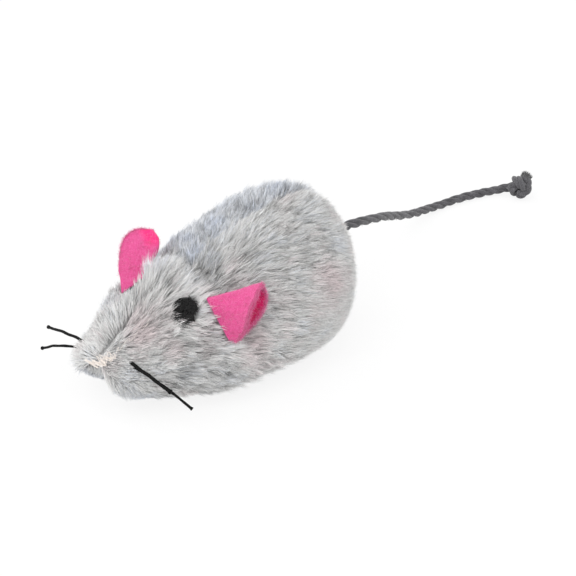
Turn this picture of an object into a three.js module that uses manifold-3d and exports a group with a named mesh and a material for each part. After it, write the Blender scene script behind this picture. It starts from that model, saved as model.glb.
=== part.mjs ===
// Catnip mouse: a plush mouse sewn from three panels and stuffed, with a sachet of catnip in its middle,
// folded felt ears sewn into the neck darts, stitched thread eyes, two waxed threads through the snout
// as whiskers, and a twisted cord tail that ends in an overhand knot.
// Millimetres, +Z up. The nose points to -Y and the mouse's left side is +X. It stands on z = 0.

import * as THREE from "three";
import { mergeVertices } from "three/addons/utils/BufferGeometryUtils.js";
import Module from "manifold-3d";

const wasm = await Module();
wasm.setup();

// Body size, over the tips of the pile
const bodyLength = 88.4;
const bodyWidth = 54.6;
const bodyHeight = 42;
const bodySetBack = -0.53;
const soleCut = 0.5;
const plushThickness = 2.6;
const seamGap = 0.3;

// Body outline at nine stations from nose to rump, as shares of the width and the height
const widthShares = [0, 0.43, 0.6, 0.845, 0.995, 1, 0.815, 0.49, 0];
const topShares = [0.305, 0.395, 0.552, 0.738, 0.881, 0.99, 1, 0.81, 0.55];
const bottomShares = [0.305, 0.145, 0.036, 0, 0, 0, 0.017, 0.214, 0.55];
const waistShare = 0.41;
const backRoundness = 2.15;
const bellyRoundness = 2.6;

// Neck dart: a valley over the back that runs down each cheek and turns towards the rump
const neckDepth = 2.6;
const neckHalfWidth = 5;
const neckY = -13.5;
const neckSweep = 10;
const neckLowShare = -0.25;
const neckFadeShare = 0.6;

// Crease along the back seam, and the mouth cleft below the nose
const backCreaseDepth = 0.9;
const backCreaseHalfWidth = 2;
const backCreaseRise = 8;
const mouthDepth = 3.4;
const mouthHalfWidth = 4.4;
const mouthTop = 19;
const mouthFade = 10;
const mouthReachShare = 0.3;
const mouthLiftShare = 0.8;

// Seams
const bellySeamAngle = -0.66;
const seamEndShare = 0.004;
const poleHoleRadius = 1.3;
const seamThreadRadius = 0.35;
const backThreadEndShare = 0.24;
const bellyThreadEndShare = 0.1;

// Catnip sachet and the slit that it goes in by
const sachetLength = 32;
const sachetWidth = 19;
const sachetHeight = 13;
const sachetY = 9;
const sachetZ = 17;
const sachetPucker = 0.12;
const fillSlitLength = 16;
const fillSlitWidth = 3;

// Eyes: two overlapping lobes of stitching, let into the plush
const eyeAlongShare = 0.351;
const eyeAngle = 1.06;
const eyeLobeRadius = 3.3;
const eyeLobeThickness = 1.1;
const eyeLobeStep = 2.1;
const eyeLobeTilt = 0.75;
const eyeSecondLobeShare = 0.86;
const eyeInset = 0.9;

// Ears: a felt leaf folded along its inner edge, both layers sewn in the neck dart, its mouth to the rear.
// The left one lies back; the right one stands up and its base runs forward. The right one is given as
// if it were on the left, and is mirrored.
const feltThickness = 1;
const earBase = 12.5;
const earPinch = 0.65;
const earBulge = 1.4;
const dimpleOverrun = 1.4;
const dimpleHalfWidth = 3;
const dimpleDepth = 2;
const earFoldShare = 0.25;
const earMouthShare = 0.12;
const leftEar = {
  centre: [18.2, -14.3, 25],
  direction: [0.745, 0, -0.667],
  lean: 0.74,
  heights: [14.2, 12.8, 10.3, 7.1, 3.2],
  foldStep: 3.6,
  sideStep: 1.6,
  mouth: 1.7,
  twistShare: 0.42,
  backLongerShare: 0.02,
};
const rightEar = {
  centre: [16, -15.3, 24.9],
  direction: [0.603, -0.354, -0.715],
  lean: 1.1,
  heights: [8.6, 11.8, 12.9, 11.4, 5],
  foldStep: -1.6,
  sideStep: -1.5,
  mouth: 1.5,
  twistShare: 0.2,
  backLongerShare: 0.02,
};

// Whiskers: two waxed threads through the snout, knotted at their ends
const whiskerRadius = 0.42;
const whiskerKnotRadius = 0.75;
const whiskerHoleGap = 0.3;
const leftUpperTip = [24, -36.4, 14.4];
const leftLowerTip = [28, -32.1, 9.4];
const rightUpperTip = [-28, -37.6, 10.9];
const rightLowerTip = [-25, -42.2, 7.5];
const upperThread = {
  left: { alongShare: 0.183, angle: 0.96 },
  right: { alongShare: 0.155, angle: 0.98 },
};
const lowerThread = {
  left: { alongShare: 0.176, angle: 0.76 },
  right: { alongShare: 0.14, angle: 0.76 },
};
const whiskerBowShare = 0.05;

// Nose stitch: a thread that crosses the snout seam to and fro
const noseThreadRadius = 0.3;
const noseStitchStartShare = 0.03;
const noseStitchEndShare = 0.19;
const noseStitchCrossings = 7;
const noseStitchHalfWidth = 1.5;
const noseStitchLift = 0.5;

// Dart stitches that close the neck dart below each ear
const dartThreadRadius = 0.3;
const dartStartAngle = 0.12;
const dartEndAngle = -0.16;
const dartStitchCrossings = 4;
const dartStitchHalfWidth = 0.9;
const dartStitchLift = 0.95;

// Tail: a limp twisted cord, its route chosen by hand from the rump to the knot. It swings where it leaves
// the plush and lifts a little further on.
const tailRadius = 1.3;
const tailSwing = [0, 44.9, 23.5];
const tailRoute = [
  [0, 48.5, 23.5],
  [-0.2, 51.6, 23.2],
  [-0.6, 55.2, 22.5],
  [-1.7, 59.6, 21.2],
  [-3.4, 64.8, 19.3],
  [-6, 70.4, 16.8],
  [-8.9, 75.8, 13.9],
  [-11.7, 81.2, 11],
  [-14.4, 86.8, 8.1],
  [-16.8, 92.6, 5.5],
  [-18.6, 98.4, 3.6],
  [-19.8, 103.8, 2.3],
  [-20.2, 109, 1.6],
  [-19.9, 114, 1.4],
  [-19.2, 119, 1.4],
  [-18, 124.2, 1.4],
  [-16.2, 129.6, 1.5],
  [-13.4, 134.4, 2.4],
];
const tailAnchorY = 37.6;
const anchorRadius = 2.6;
const knotCentre = [-11.5, 136.9, 3.45];
const knotLoop = 1.7;
const knotWave = 0.55;
const knotRise = 1.5;
const knotCore = 2.9;
const knotTurn = 0.4;
const tuftLength = 5.2;
const tuftRadius = 1.9;
const tuftDirection = [0.25, 0.75, 0.45];

// Surface detail, in counts
const alongSteps = 28;
const coverRows = 16;
const seamSteps = 14;
const sachetSteps = 12;
const earColumns = 16;
const earRows = 5;
const threadSides = 6;
const whiskerSteps = 6;
const stitchSteps = 4;
const knotSteps = 5;
const tailSteps = 36;
const cordSides = 8;
const roundSides = 8;
const dimpleSides = 12;
const differenceStep = 0.001;
const earStep = 0.005;
const cutOverrun = 6;
const bladeOverrun = 2.6;

const plush = { color: 0xbababb, roughness: 0.95, metalness: 0 };
const wadding = { color: 0xf2f1ec, roughness: 1, metalness: 0 };
const driedLeaf = { color: 0x7d8250, roughness: 1, metalness: 0 };
const felt = { color: 0xe6609c, roughness: 0.95, metalness: 0 };
const blackThread = { color: 0x1f1f20, roughness: 0.8, metalness: 0 };
const waxedThread = { color: 0x232322, roughness: 0.55, metalness: 0 };
const creamThread = { color: 0xe9e2da, roughness: 0.85, metalness: 0 };
const greyThread = { color: 0x9a9a9b, roughness: 0.85, metalness: 0 };
const greyCord = { color: 0x616063, roughness: 0.9, metalness: 0 };

const vector = (point) => new THREE.Vector3(...point);
const upward = new THREE.Vector3(0, 0, 1);
const rearward = new THREE.Vector3(0, 1, 0);

// A smooth curve through evenly spaced values, read at a share of its length.
function smoothValue(values, share) {
  const last = values.length - 1;
  const place = THREE.MathUtils.clamp(share, 0, 1) * last;
  const index = Math.min(Math.floor(place), last - 1);
  const rest = place - index;
  const here = values[index];
  const next = values[index + 1];
  const before = index > 0 ? values[index - 1] : 2 * here - next;
  const after = index + 2 <= last ? values[index + 2] : 2 * next - here;
  const bend = 2 * before - 5 * here + 4 * next - after;
  const twist = 3 * (here - next) + after - before;
  return here + 0.5 * rest * (next - before + rest * (bend + rest * twist));
}

const ease = (value) => THREE.MathUtils.smoothstep(value, 0, 1);
const bell = (distance, halfWidth) => Math.exp(-((distance / halfWidth) ** 2));

// The body's outline at one station: half width, top, bottom and the height where it is widest.
function station(along) {
  const halfWidth = Math.max(0, (smoothValue(widthShares, along) * bodyWidth) / 2);
  const top = smoothValue(topShares, along) * bodyHeight;
  const bottom = smoothValue(bottomShares, along) * bodyHeight - soleCut;
  return { halfWidth, top, bottom, middle: bottom + (top - bottom) * waistShare };
}

// A point of the body's outside. along runs from 0 at the nose to 1 at the rump, and angle goes round
// from the mouse's left side over its back.
function outsidePoint(along, angle) {
  const { halfWidth, top, bottom, middle } = station(along);
  const cos = Math.cos(angle);
  const sin = Math.sin(angle);
  const power = 2 / (sin >= 0 ? backRoundness : bellyRoundness);
  const reach = sin >= 0 ? top - middle : middle - bottom;
  const across = Math.sign(cos) * Math.abs(cos) ** power * halfWidth;
  const rise = Math.sign(sin) * Math.abs(sin) ** power * reach;
  const y = bodySetBack - (bodyLength / 2) * Math.cos(Math.PI * along);
  const dart = ease((sin - neckLowShare) / neckFadeShare);
  const valley = neckDepth * dart * bell(y - neckY - neckSweep * (1 - dart), neckHalfWidth);
  const spread = Math.hypot(across, rise);
  const kept = spread > valley ? 1 - valley / spread : 1;
  const point = new THREE.Vector3(across * kept, y, middle + rise * kept);
  const overBack = ease((point.z - middle) / backCreaseRise);
  point.z -= backCreaseDepth * bell(point.x, backCreaseHalfWidth) * overBack;
  const front = ease(1 - along / mouthReachShare);
  const low = ease((mouthTop - point.z) / mouthFade);
  const cleft = mouthDepth * bell(point.x, mouthHalfWidth) * front * low;
  point.y += cleft;
  point.z += cleft * mouthLiftShare;
  return point;
}

// The direction out of the body at a point of its outside.
function outsideNormal(along, angle) {
  const back = outsidePoint(along + differenceStep, angle);
  const front = outsidePoint(along - differenceStep, angle);
  const over = outsidePoint(along, angle + differenceStep);
  const under = outsidePoint(along, angle - differenceStep);
  return back.sub(front).cross(over.sub(under)).normalize();
}

// A point below the outside: each layer is the outside drawn in towards the body's middle.
function skinPoint(along, angle, inset) {
  const middle = new THREE.Vector3(0, bodySetBack, bodyHeight * waistShare);
  const half = new THREE.Vector3(bodyWidth / 2, bodyLength / 2, bodyHeight / 2);
  const kept = half.clone().subScalar(inset).divide(half);
  return outsidePoint(along, angle).sub(middle).multiply(kept).add(middle);
}

// A geometry's closed surface as a solid that can be cut and joined.
function solidOf(geometry) {
  const bare = geometry.index ? geometry.toNonIndexed() : geometry.clone();
  bare.deleteAttribute("normal");
  bare.deleteAttribute("uv");
  const merged = mergeVertices(bare, differenceStep / 10);
  const vertProperties = merged.attributes.position.array;
  const triVerts = new Uint32Array(merged.index.array);
  return new wasm.Manifold(new wasm.Mesh({ numProp: 3, vertProperties, triVerts }));
}

function geometryOf(solid) {
  const { vertProperties, triVerts } = solid.getMesh();
  const geometry = new THREE.BufferGeometry();
  geometry.setAttribute("position", new THREE.BufferAttribute(vertProperties, 3));
  geometry.setIndex(new THREE.BufferAttribute(triVerts, 1));
  geometry.computeVertexNormals();
  return geometry;
}

function geometryFrom(points, faces) {
  const geometry = new THREE.BufferGeometry();
  geometry.setAttribute("position", new THREE.Float32BufferAttribute(points.flat(), 3));
  geometry.setIndex(faces.flat());
  return geometry;
}

// A slab between two surfaces: pointAt(column share, row share, side) gives the outer surface for
// side 0 and the inner one for side 1. Columns turned towards rows, by the right hand, point out.
function slab(pointAt, columns, rows) {
  const points = [];
  const faces = [];
  const index = (column, row, side) => (side * (rows + 1) + row) * (columns + 1) + column;
  for (let side = 0; side <= 1; side += 1) {
    for (let row = 0; row <= rows; row += 1) {
      for (let column = 0; column <= columns; column += 1) {
        points.push(pointAt(column / columns, row / rows, side).toArray());
      }
    }
  }
  const quad = (a, b, c, d) => faces.push([a, c, b], [a, d, c]);
  for (let row = 0; row < rows; row += 1) {
    for (let column = 0; column < columns; column += 1) {
      const corner = (side, c, r) => index(column + c, row + r, side);
      quad(corner(0, 0, 0), corner(0, 0, 1), corner(0, 1, 1), corner(0, 1, 0));
      quad(corner(1, 0, 0), corner(1, 1, 0), corner(1, 1, 1), corner(1, 0, 1));
    }
  }
  for (let column = 0; column < columns; column += 1) {
    const rim = (c, row, side) => index(column + c, row, side);
    quad(rim(0, 0, 0), rim(1, 0, 0), rim(1, 0, 1), rim(0, 0, 1));
    quad(rim(0, rows, 0), rim(0, rows, 1), rim(1, rows, 1), rim(1, rows, 0));
  }
  for (let row = 0; row < rows; row += 1) {
    const rim = (column, r, side) => index(column, row + r, side);
    quad(rim(0, 0, 0), rim(0, 0, 1), rim(0, 1, 1), rim(0, 1, 0));
    quad(rim(columns, 0, 0), rim(columns, 1, 0), rim(columns, 1, 1), rim(columns, 0, 1));
  }
  return geometryFrom(points, faces);
}

// A closed form with a pole at each end: pointAt(share along, angle round it) gives its surface.
function closedForm(pointAt, steps, rows) {
  const points = [pointAt(0, 0).toArray()];
  const faces = [];
  for (let step = 1; step < steps; step += 1) {
    for (let row = 0; row < rows; row += 1) {
      points.push(pointAt(step / steps, (2 * Math.PI * row) / rows).toArray());
    }
  }
  points.push(pointAt(1, 0).toArray());
  const last = points.length - 1;
  const index = (step, row) => 1 + (step - 1) * rows + (row % rows);
  for (let row = 0; row < rows; row += 1) {
    faces.push([0, index(1, row), index(1, row + 1)]);
    faces.push([last, index(steps - 1, row + 1), index(steps - 1, row)]);
    for (let step = 1; step < steps - 1; step += 1) {
      const [a, b] = [index(step, row), index(step, row + 1)];
      const [c, d] = [index(step + 1, row), index(step + 1, row + 1)];
      faces.push([a, c, d], [a, d, b]);
    }
  }
  return geometryFrom(points, faces);
}

// A round tube along points, with flat closed ends.
function tube(points, radius, sides, steps) {
  const section = new THREE.Shape().absarc(0, 0, radius, 0, 2 * Math.PI);
  const extrudePath = new THREE.CatmullRomCurve3(points, false, "centripetal");
  return new THREE.ExtrudeGeometry(section, {
    extrudePath,
    steps,
    curveSegments: sides / 2,
    bevelEnabled: false,
  });
}

const tubeSolid = (points, radius, sides, steps) => solidOf(tube(points, radius, sides, steps));

function ball(centre, radius) {
  return solidOf(new THREE.SphereGeometry(radius, roundSides, roundSides).translate(...centre.toArray()));
}

function meshOf(name, solid, look) {
  const mesh = new THREE.Mesh(geometryOf(solid), new THREE.MeshStandardMaterial(look));
  mesh.name = name;
  return mesh;
}

const cutBy = (solid, tools) => tools.reduce((left, tool) => left.subtract(tool), solid);

// Everything below the ground plane, to cut the sole flat.
function belowGround() {
  const depth = soleCut + cutOverrun;
  const geometry = new THREE.BoxGeometry(bodyWidth * 2, bodyLength * 2, depth);
  return solidOf(geometry.translate(0, 0, -depth / 2));
}

// The place on the snout where a whisker thread comes out. side is 1 on the left and -1 on the right.
function threadExit(thread, side) {
  const { alongShare, angle } = side > 0 ? thread.left : thread.right;
  const exit = outsidePoint(alongShare, angle);
  exit.x *= side;
  return exit;
}

function innerThread(thread, radius, overrun) {
  const start = threadExit(thread, -1);
  const end = threadExit(thread, 1);
  const onward = end.clone().sub(start).setLength(overrun);
  return tubeSolid([start.sub(onward), end.add(onward)], radius, cordSides, 1);
}

// A free whisker starts a hair's breadth out of the snout, stands off it and bows to its knot.
function freeWhisker(thread, side, tip) {
  const { alongShare, angle } = side > 0 ? thread.left : thread.right;
  const normal = outsideNormal(alongShare, angle);
  normal.x *= side;
  const end = vector(tip);
  const root = threadExit(thread, side).addScaledVector(normal, seamGap + whiskerRadius);
  const middle = root.clone().lerp(end, 0.5).addScaledVector(normal, root.distanceTo(end) * whiskerBowShare);
  const shaft = tubeSolid([root, middle, end], whiskerRadius, threadSides, whiskerSteps);
  return shaft.add(ball(end, whiskerKnotRadius));
}

// Eyes
function eyeSolid(side, clearance) {
  const centre = skinPoint(eyeAlongShare, eyeAngle, eyeInset);
  const normal = outsideNormal(eyeAlongShare, eyeAngle);
  const turn = new THREE.Quaternion().setFromUnitVectors(upward, normal);
  const lobe = (offset, share) => {
    const radius = eyeLobeRadius * share + clearance;
    const geometry = new THREE.SphereGeometry(radius, roundSides, roundSides);
    geometry.scale(1, 1, (eyeLobeThickness + clearance) / radius);
    geometry.translate(offset * Math.cos(eyeLobeTilt), -offset * Math.sin(eyeLobeTilt), 0);
    geometry.applyQuaternion(turn);
    geometry.translate(...centre.toArray());
    return solidOf(geometry);
  };
  const first = lobe(-eyeLobeStep / 2, 1);
  const both = first.add(lobe(eyeLobeStep / 2, eyeSecondLobeShare));
  return side > 0 ? both : both.mirror([1, 0, 0]);
}

// Tail
function knotSolid() {
  const centre = vector(knotCentre);
  const point = (turn) => {
    const angle = 2 * Math.PI * turn;
    const reach = knotLoop + knotWave * Math.cos(3 * angle);
    return new THREE.Vector3(
      reach * Math.cos(2 * angle),
      knotRise * Math.sin(3 * angle),
      reach * Math.sin(2 * angle),
    )
      .applyAxisAngle(upward, knotTurn)
      .add(centre);
  };
  const arcs = [0, 1, 2].map((arc) => {
    const points = Array.from({ length: 6 }, (_, step) => point((arc + step / 4.6) / 3));
    return tubeSolid(points, tailRadius, cordSides, knotSteps);
  });
  const lump = arcs.reduce((joined, arc) => joined.add(arc));
  const core = ball(centre, knotCore);
  return lump.add(core).add(tuftSolid(centre));
}

function tuftSolid(centre) {
  const profile = [
    new THREE.Vector2(0, 0),
    new THREE.Vector2(tailRadius, 0),
    new THREE.Vector2(tailRadius, tuftLength / 2),
    new THREE.Vector2(tuftRadius, tuftLength),
    new THREE.Vector2(0, tuftLength),
  ];
  const turn = new THREE.Quaternion().setFromUnitVectors(rearward, vector(tuftDirection).normalize());
  const cone = new THREE.LatheGeometry(profile, roundSides).applyQuaternion(turn);
  return solidOf(cone.translate(...centre.toArray()));
}

const swingPoint = vector(tailSwing);
const liftPoint = vector(tailRoute[0]);
const anchorPoint = new THREE.Vector3(swingPoint.x, tailAnchorY, swingPoint.z);

// The point short of a joint where the piece before it ends, clear of the round end that turns there.
function endBefore(point) {
  return point.clone().addScaledVector(rearward, -(tailRadius + seamGap));
}

function anchorSolid(clearance) {
  const knot = ball(anchorPoint, anchorRadius + clearance);
  const end = clearance > 0 ? liftPoint : endBefore(swingPoint);
  return knot.add(tubeSolid([anchorPoint, end], tailRadius + clearance, cordSides, 1));
}

function tailRootSolid() {
  const stub = tubeSolid([swingPoint, endBefore(liftPoint)], tailRadius, cordSides, 1);
  return stub.add(ball(swingPoint, tailRadius));
}

function tailCordSolid() {
  const cord = tubeSolid(tailRoute.map(vector), tailRadius, cordSides, tailSteps);
  return cord.add(ball(liftPoint, tailRadius));
}

// Catnip sachet
function sachetPoint(grow) {
  return (along, angle) => {
    const y = -Math.cos(Math.PI * along);
    const round = Math.sin(Math.PI * along);
    const pucker = 1 + sachetPucker * Math.cos(2 * angle) * round;
    return new THREE.Vector3(
      (sachetWidth / 2 + grow) * round * Math.cos(angle) * pucker,
      sachetY + (sachetLength / 2 + grow) * y,
      sachetZ + (sachetHeight / 2 + grow) * round * Math.sin(angle),
    );
  };
}

const sachetSolid = (grow) => solidOf(closedForm(sachetPoint(grow), sachetSteps, sachetSteps));

// Seam threads run just under the plush, in a channel of the filling.
function seamPath(angle, endShare) {
  const inset = plushThickness + 2 * seamGap + seamThreadRadius;
  return Array.from({ length: seamSteps + 1 }, (_, step) => {
    const along = endShare + (1 - 2 * endShare) * (step / seamSteps);
    return skinPoint(along, angle, inset);
  });
}

const seams = [
  { name: "back_seam_thread", path: seamPath(Math.PI / 2, backThreadEndShare) },
  { name: "left_belly_seam_thread", path: seamPath(bellySeamAngle, bellyThreadEndShare) },
  { name: "right_belly_seam_thread", path: seamPath(Math.PI - bellySeamAngle, bellyThreadEndShare) },
];

const seamSolid = (path, radius) => tubeSolid(path, radius, threadSides, seamSteps);

// A stitch that goes to and fro over a seam, on the outside of the plush.
function zigzag(placeAt, crossings, halfWidth, radius, lift) {
  const points = [];
  for (let step = 0; step <= crossings; step += 1) {
    const { point, normal, across } = placeAt(step / crossings);
    const swing = step % 2 === 0 ? halfWidth : -halfWidth;
    points.push(point.addScaledVector(normal, radius + lift).addScaledVector(across, swing));
  }
  return tubeSolid(points, radius, threadSides, crossings * stitchSteps);
}

function noseStitch() {
  const placeAt = (share) => {
    const along = THREE.MathUtils.lerp(noseStitchStartShare, noseStitchEndShare, share);
    const normal = outsideNormal(along, Math.PI / 2);
    return { point: outsidePoint(along, Math.PI / 2), normal, across: new THREE.Vector3(1, 0, 0) };
  };
  return zigzag(placeAt, noseStitchCrossings, noseStitchHalfWidth, noseThreadRadius, noseStitchLift);
}

// The neck dart's floor at an angle round the body.
function dartAlong(angle) {
  const dart = ease((Math.sin(angle) - neckLowShare) / neckFadeShare);
  const y = neckY + neckSweep * (1 - dart) - bodySetBack;
  return Math.acos((-2 * y) / bodyLength) / Math.PI;
}

function dartStitch(side) {
  const placeAt = (share) => {
    const angle = THREE.MathUtils.lerp(dartStartAngle, dartEndAngle, share);
    const along = dartAlong(angle);
    return { point: outsidePoint(along, angle), normal: outsideNormal(along, angle), across: rearward };
  };
  const stitch = zigzag(
    placeAt,
    dartStitchCrossings,
    dartStitchHalfWidth,
    dartThreadRadius,
    dartStitchLift,
  );
  return side > 0 ? stitch : stitch.mirror([1, 0, 0]);
}

// The dimple that an ear's root presses in the pile.
function earDimple(ear, side) {
  const base = vector(ear.direction).normalize();
  const rear = rearward.clone().addScaledVector(base, -base.dot(rearward)).normalize();
  const axes = new THREE.Matrix4().makeBasis(base, rear, base.clone().cross(rear));
  const geometry = new THREE.SphereGeometry(1, dimpleSides, dimpleSides);
  geometry.scale(earBase / 2 + dimpleOverrun, dimpleHalfWidth, dimpleDepth);
  geometry.applyMatrix4(axes).translate(...ear.centre);
  const solid = solidOf(geometry);
  return side > 0 ? solid : solid.mirror([1, 0, 0]);
}

// Ears
function earSolid(ear, side) {
  const base = vector(ear.direction).normalize();
  const rear = rearward.clone().addScaledVector(base, -base.dot(rearward)).normalize();
  const out = base.clone().cross(rear);
  const height = rear.clone().multiplyScalar(Math.cos(ear.lean)).addScaledVector(out, Math.sin(ear.lean));
  const front = out.clone().multiplyScalar(Math.cos(ear.lean)).addScaledVector(rear, -Math.sin(ear.lean));
  const middlePoint = (around, rise) => {
    const turn = 2 * around - 1;
    const width = Math.abs(turn);
    const low = THREE.MathUtils.lerp(-earBase / 2, earBase / 2, width);
    const high = low + THREE.MathUtils.lerp(ear.foldStep, ear.sideStep, width);
    const longer = turn > 0 ? 1 + ear.backLongerShare * ease(2 * width) : 1;
    const tall = smoothValue(ear.heights, width) * longer;
    const bulge = earBulge * Math.sin(Math.PI * width) * rise;
    const folded = 1 - Math.min(1, width / earFoldShare);
    const fold = Math.sqrt(1 - folded ** 2);
    const open = earPinch + ear.mouth * rise * Math.sin(Math.PI * Math.min(1, width + earMouthShare));
    const across = THREE.MathUtils.lerp(low, high, rise) + bulge;
    const twist = ear.twistShare * rise * (across + earBase / 4);
    return vector(ear.centre)
      .addScaledVector(base, across)
      .addScaledVector(height, tall * rise + bulge / 2)
      .addScaledVector(front, (turn > 0 ? -1 : 1) * fold * open + twist);
  };
  const pointAt = (aroundShare, riseShare, face) => {
    const around = THREE.MathUtils.clamp(aroundShare, earStep, 1 - earStep);
    const rise = THREE.MathUtils.clamp(riseShare, earStep, 1 - earStep);
    const along = middlePoint(around + earStep, rise).sub(middlePoint(around - earStep, rise));
    const upwards = middlePoint(around, rise + earStep).sub(middlePoint(around, rise - earStep));
    const normal = along.cross(upwards).normalize();
    return middlePoint(aroundShare, riseShare).addScaledVector(normal, feltThickness * (0.5 - face));
  };
  const solid = solidOf(slab(pointAt, earColumns, earRows));
  return side > 0 ? solid : solid.mirror([1, 0, 0]);
}

// The plush cover and the filling share one grid of points, so that they stay clear of each other
const whiskerTools = [upperThread, lowerThread].map((thread) =>
  innerThread(thread, whiskerRadius + whiskerHoleGap, cutOverrun),
);
const anchorTool = anchorSolid(seamGap);

function coverAt(inset) {
  const pointAt = (along, angle) => skinPoint(along, angle, inset);
  return solidOf(closedForm(pointAt, alongSteps, coverRows));
}

// A thin blade along a seam, square to the plush.
function seamBlade(seamAngle) {
  const pointAt = (column, row, side) => {
    const along = THREE.MathUtils.lerp(seamEndShare, 1 - seamEndShare, column);
    const depth = THREE.MathUtils.lerp(-bladeOverrun, plushThickness + bladeOverrun, row);
    const ahead = outsidePoint(along + differenceStep, seamAngle);
    const onward = ahead.sub(outsidePoint(along - differenceStep, seamAngle));
    const inward = skinPoint(along, seamAngle, plushThickness).sub(outsidePoint(along, seamAngle));
    const across = onward.cross(inward).setLength(seamGap / 2);
    return skinPoint(along, seamAngle, depth).addScaledVector(across, side === 0 ? 1 : -1);
  };
  return solidOf(slab(pointAt, alongSteps, 1));
}

// The hole at a pole where the three seams meet.
function poleTool(y) {
  const hole = new THREE.CylinderGeometry(poleHoleRadius, poleHoleRadius, 4 * cutOverrun, cordSides);
  return solidOf(hole.translate(0, y, outsidePoint(y > 0 ? 1 : 0, 0).z));
}

function panels() {
  const cover = coverAt(0).subtract(coverAt(plushThickness));
  const blades = [Math.PI / 2, bellySeamAngle, Math.PI - bellySeamAngle].map(seamBlade);
  const poles = [outsidePoint(0, 0).y, outsidePoint(1, 0).y].map(poleTool);
  const cut = cutBy(cover, [...blades, ...poles, ...whiskerTools, anchorTool, belowGround()]);
  const top = (piece) => piece.boundingBox().max[2];
  const reach = (piece) => piece.boundingBox().max[0];
  const [belly, ...sides] = cut.decompose().sort((one, other) => top(one) - top(other));
  const [right, left] = sides.sort((one, other) => reach(one) - reach(other));
  return {
    left: cutBy(left, [eyeSolid(1, seamGap), earDimple(leftEar, 1)]),
    right: cutBy(right, [eyeSolid(-1, seamGap), earDimple(rightEar, -1)]),
    belly,
  };
}

function fillingSolid() {
  const slit = new THREE.BoxGeometry(fillSlitWidth, fillSlitLength, sachetZ + cutOverrun);
  slit.translate(0, sachetY, (sachetZ - cutOverrun) / 2);
  const channels = seams.map(({ path }) => seamSolid(path, seamThreadRadius + seamGap));
  const whole = coverAt(plushThickness + seamGap);
  return cutBy(whole, [sachetSolid(seamGap), solidOf(slit), anchorTool, ...whiskerTools, ...channels]);
}

// The mouse
const mouse = new THREE.Group();
const add = (name, solid, look) => mouse.add(meshOf(name, solid, look));

const cover = panels();

add("left_side_panel", cover.left, plush);
add("right_side_panel", cover.right, plush);
add("belly_panel", cover.belly, plush);
add("stuffing", fillingSolid(), wadding);
add("catnip_sachet", sachetSolid(0), driedLeaf);
add("left_eye", eyeSolid(1, 0), blackThread);
add("right_eye", eyeSolid(-1, 0), blackThread);
add("left_ear", earSolid(leftEar, 1), felt);
add("right_ear", earSolid(rightEar, -1), felt);
add("nose_stitch", noseStitch(), creamThread);
add("left_dart_stitch", dartStitch(1), greyThread);
add("right_dart_stitch", dartStitch(-1), greyThread);
for (const { name, path } of seams) add(name, seamSolid(path, seamThreadRadius), greyThread);
add("upper_whisker_thread", innerThread(upperThread, whiskerRadius, 0), waxedThread);
add("lower_whisker_thread", innerThread(lowerThread, whiskerRadius, 0), waxedThread);
add("left_upper_whisker", freeWhisker(upperThread, 1, leftUpperTip), waxedThread);
add("left_lower_whisker", freeWhisker(lowerThread, 1, leftLowerTip), waxedThread);
add("right_upper_whisker", freeWhisker(upperThread, -1, rightUpperTip), waxedThread);
add("right_lower_whisker", freeWhisker(lowerThread, -1, rightLowerTip), waxedThread);
add("tail_anchor", anchorSolid(0), greyCord);
add("tail_root", tailRootSolid(), greyCord);
add("tail_cord", tailCordSolid(), greyCord);
add("tail_knot", knotSolid(), greyCord);

export default mouse;
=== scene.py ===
"""Dresses the catnip mouse in plush fur, felt, thread and cord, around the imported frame.

Lengths are written in millimetres, and MM turns them into metres where a mesh is made. A place on
the body is a share along it, from nose to rump, and an angle round it, from its left over its back."""
import math
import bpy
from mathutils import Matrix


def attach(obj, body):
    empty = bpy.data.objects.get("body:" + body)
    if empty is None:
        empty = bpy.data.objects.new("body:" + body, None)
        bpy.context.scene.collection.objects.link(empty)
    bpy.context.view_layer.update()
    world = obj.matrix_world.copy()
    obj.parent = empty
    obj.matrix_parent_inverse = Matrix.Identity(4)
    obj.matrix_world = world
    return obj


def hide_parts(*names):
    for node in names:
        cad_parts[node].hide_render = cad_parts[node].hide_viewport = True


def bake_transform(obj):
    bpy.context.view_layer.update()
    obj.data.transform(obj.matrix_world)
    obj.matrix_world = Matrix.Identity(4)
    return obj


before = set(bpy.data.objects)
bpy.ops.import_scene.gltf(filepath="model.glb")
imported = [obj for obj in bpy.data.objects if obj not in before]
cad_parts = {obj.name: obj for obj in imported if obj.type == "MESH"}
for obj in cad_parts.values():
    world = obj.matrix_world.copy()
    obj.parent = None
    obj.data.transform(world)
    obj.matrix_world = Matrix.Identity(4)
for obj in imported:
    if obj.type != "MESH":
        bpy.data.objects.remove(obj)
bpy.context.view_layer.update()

from types import SimpleNamespace

import bmesh
import bpy
import numpy as np
from mathutils import Matrix, Vector
from mathutils.kdtree import KDTree

MM = 0.001
scene = bpy.context.scene

# Camera
AZIMUTH, ELEVATION = math.radians(49.63), math.radians(30.14)
AIM = (0, -0.53, 20)
DISTANCE = 600
FOCAL_PIXELS = 2178
FRAME_PIXELS = 576
AIM_OFFSET = (73.31, 4.64)
SENSOR = 36
CLIP_START, CLIP_END = 0.01, 10
TO_CAMERA = np.array([0.659, -0.560, 0.502])  # the camera's backward axis, rounded


def put(name, data):
    thing = bpy.data.objects.new(name, data)
    scene.collection.objects.link(thing)
    return thing


def camera_axes():
    sa, ca, se, ce = math.sin(AZIMUTH), math.cos(AZIMUTH), math.sin(ELEVATION), math.cos(ELEVATION)
    return Vector((ca, sa, 0)), Vector((-sa * se, ca * se, ce)), Vector((sa * ce, -ca * ce, se))


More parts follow.
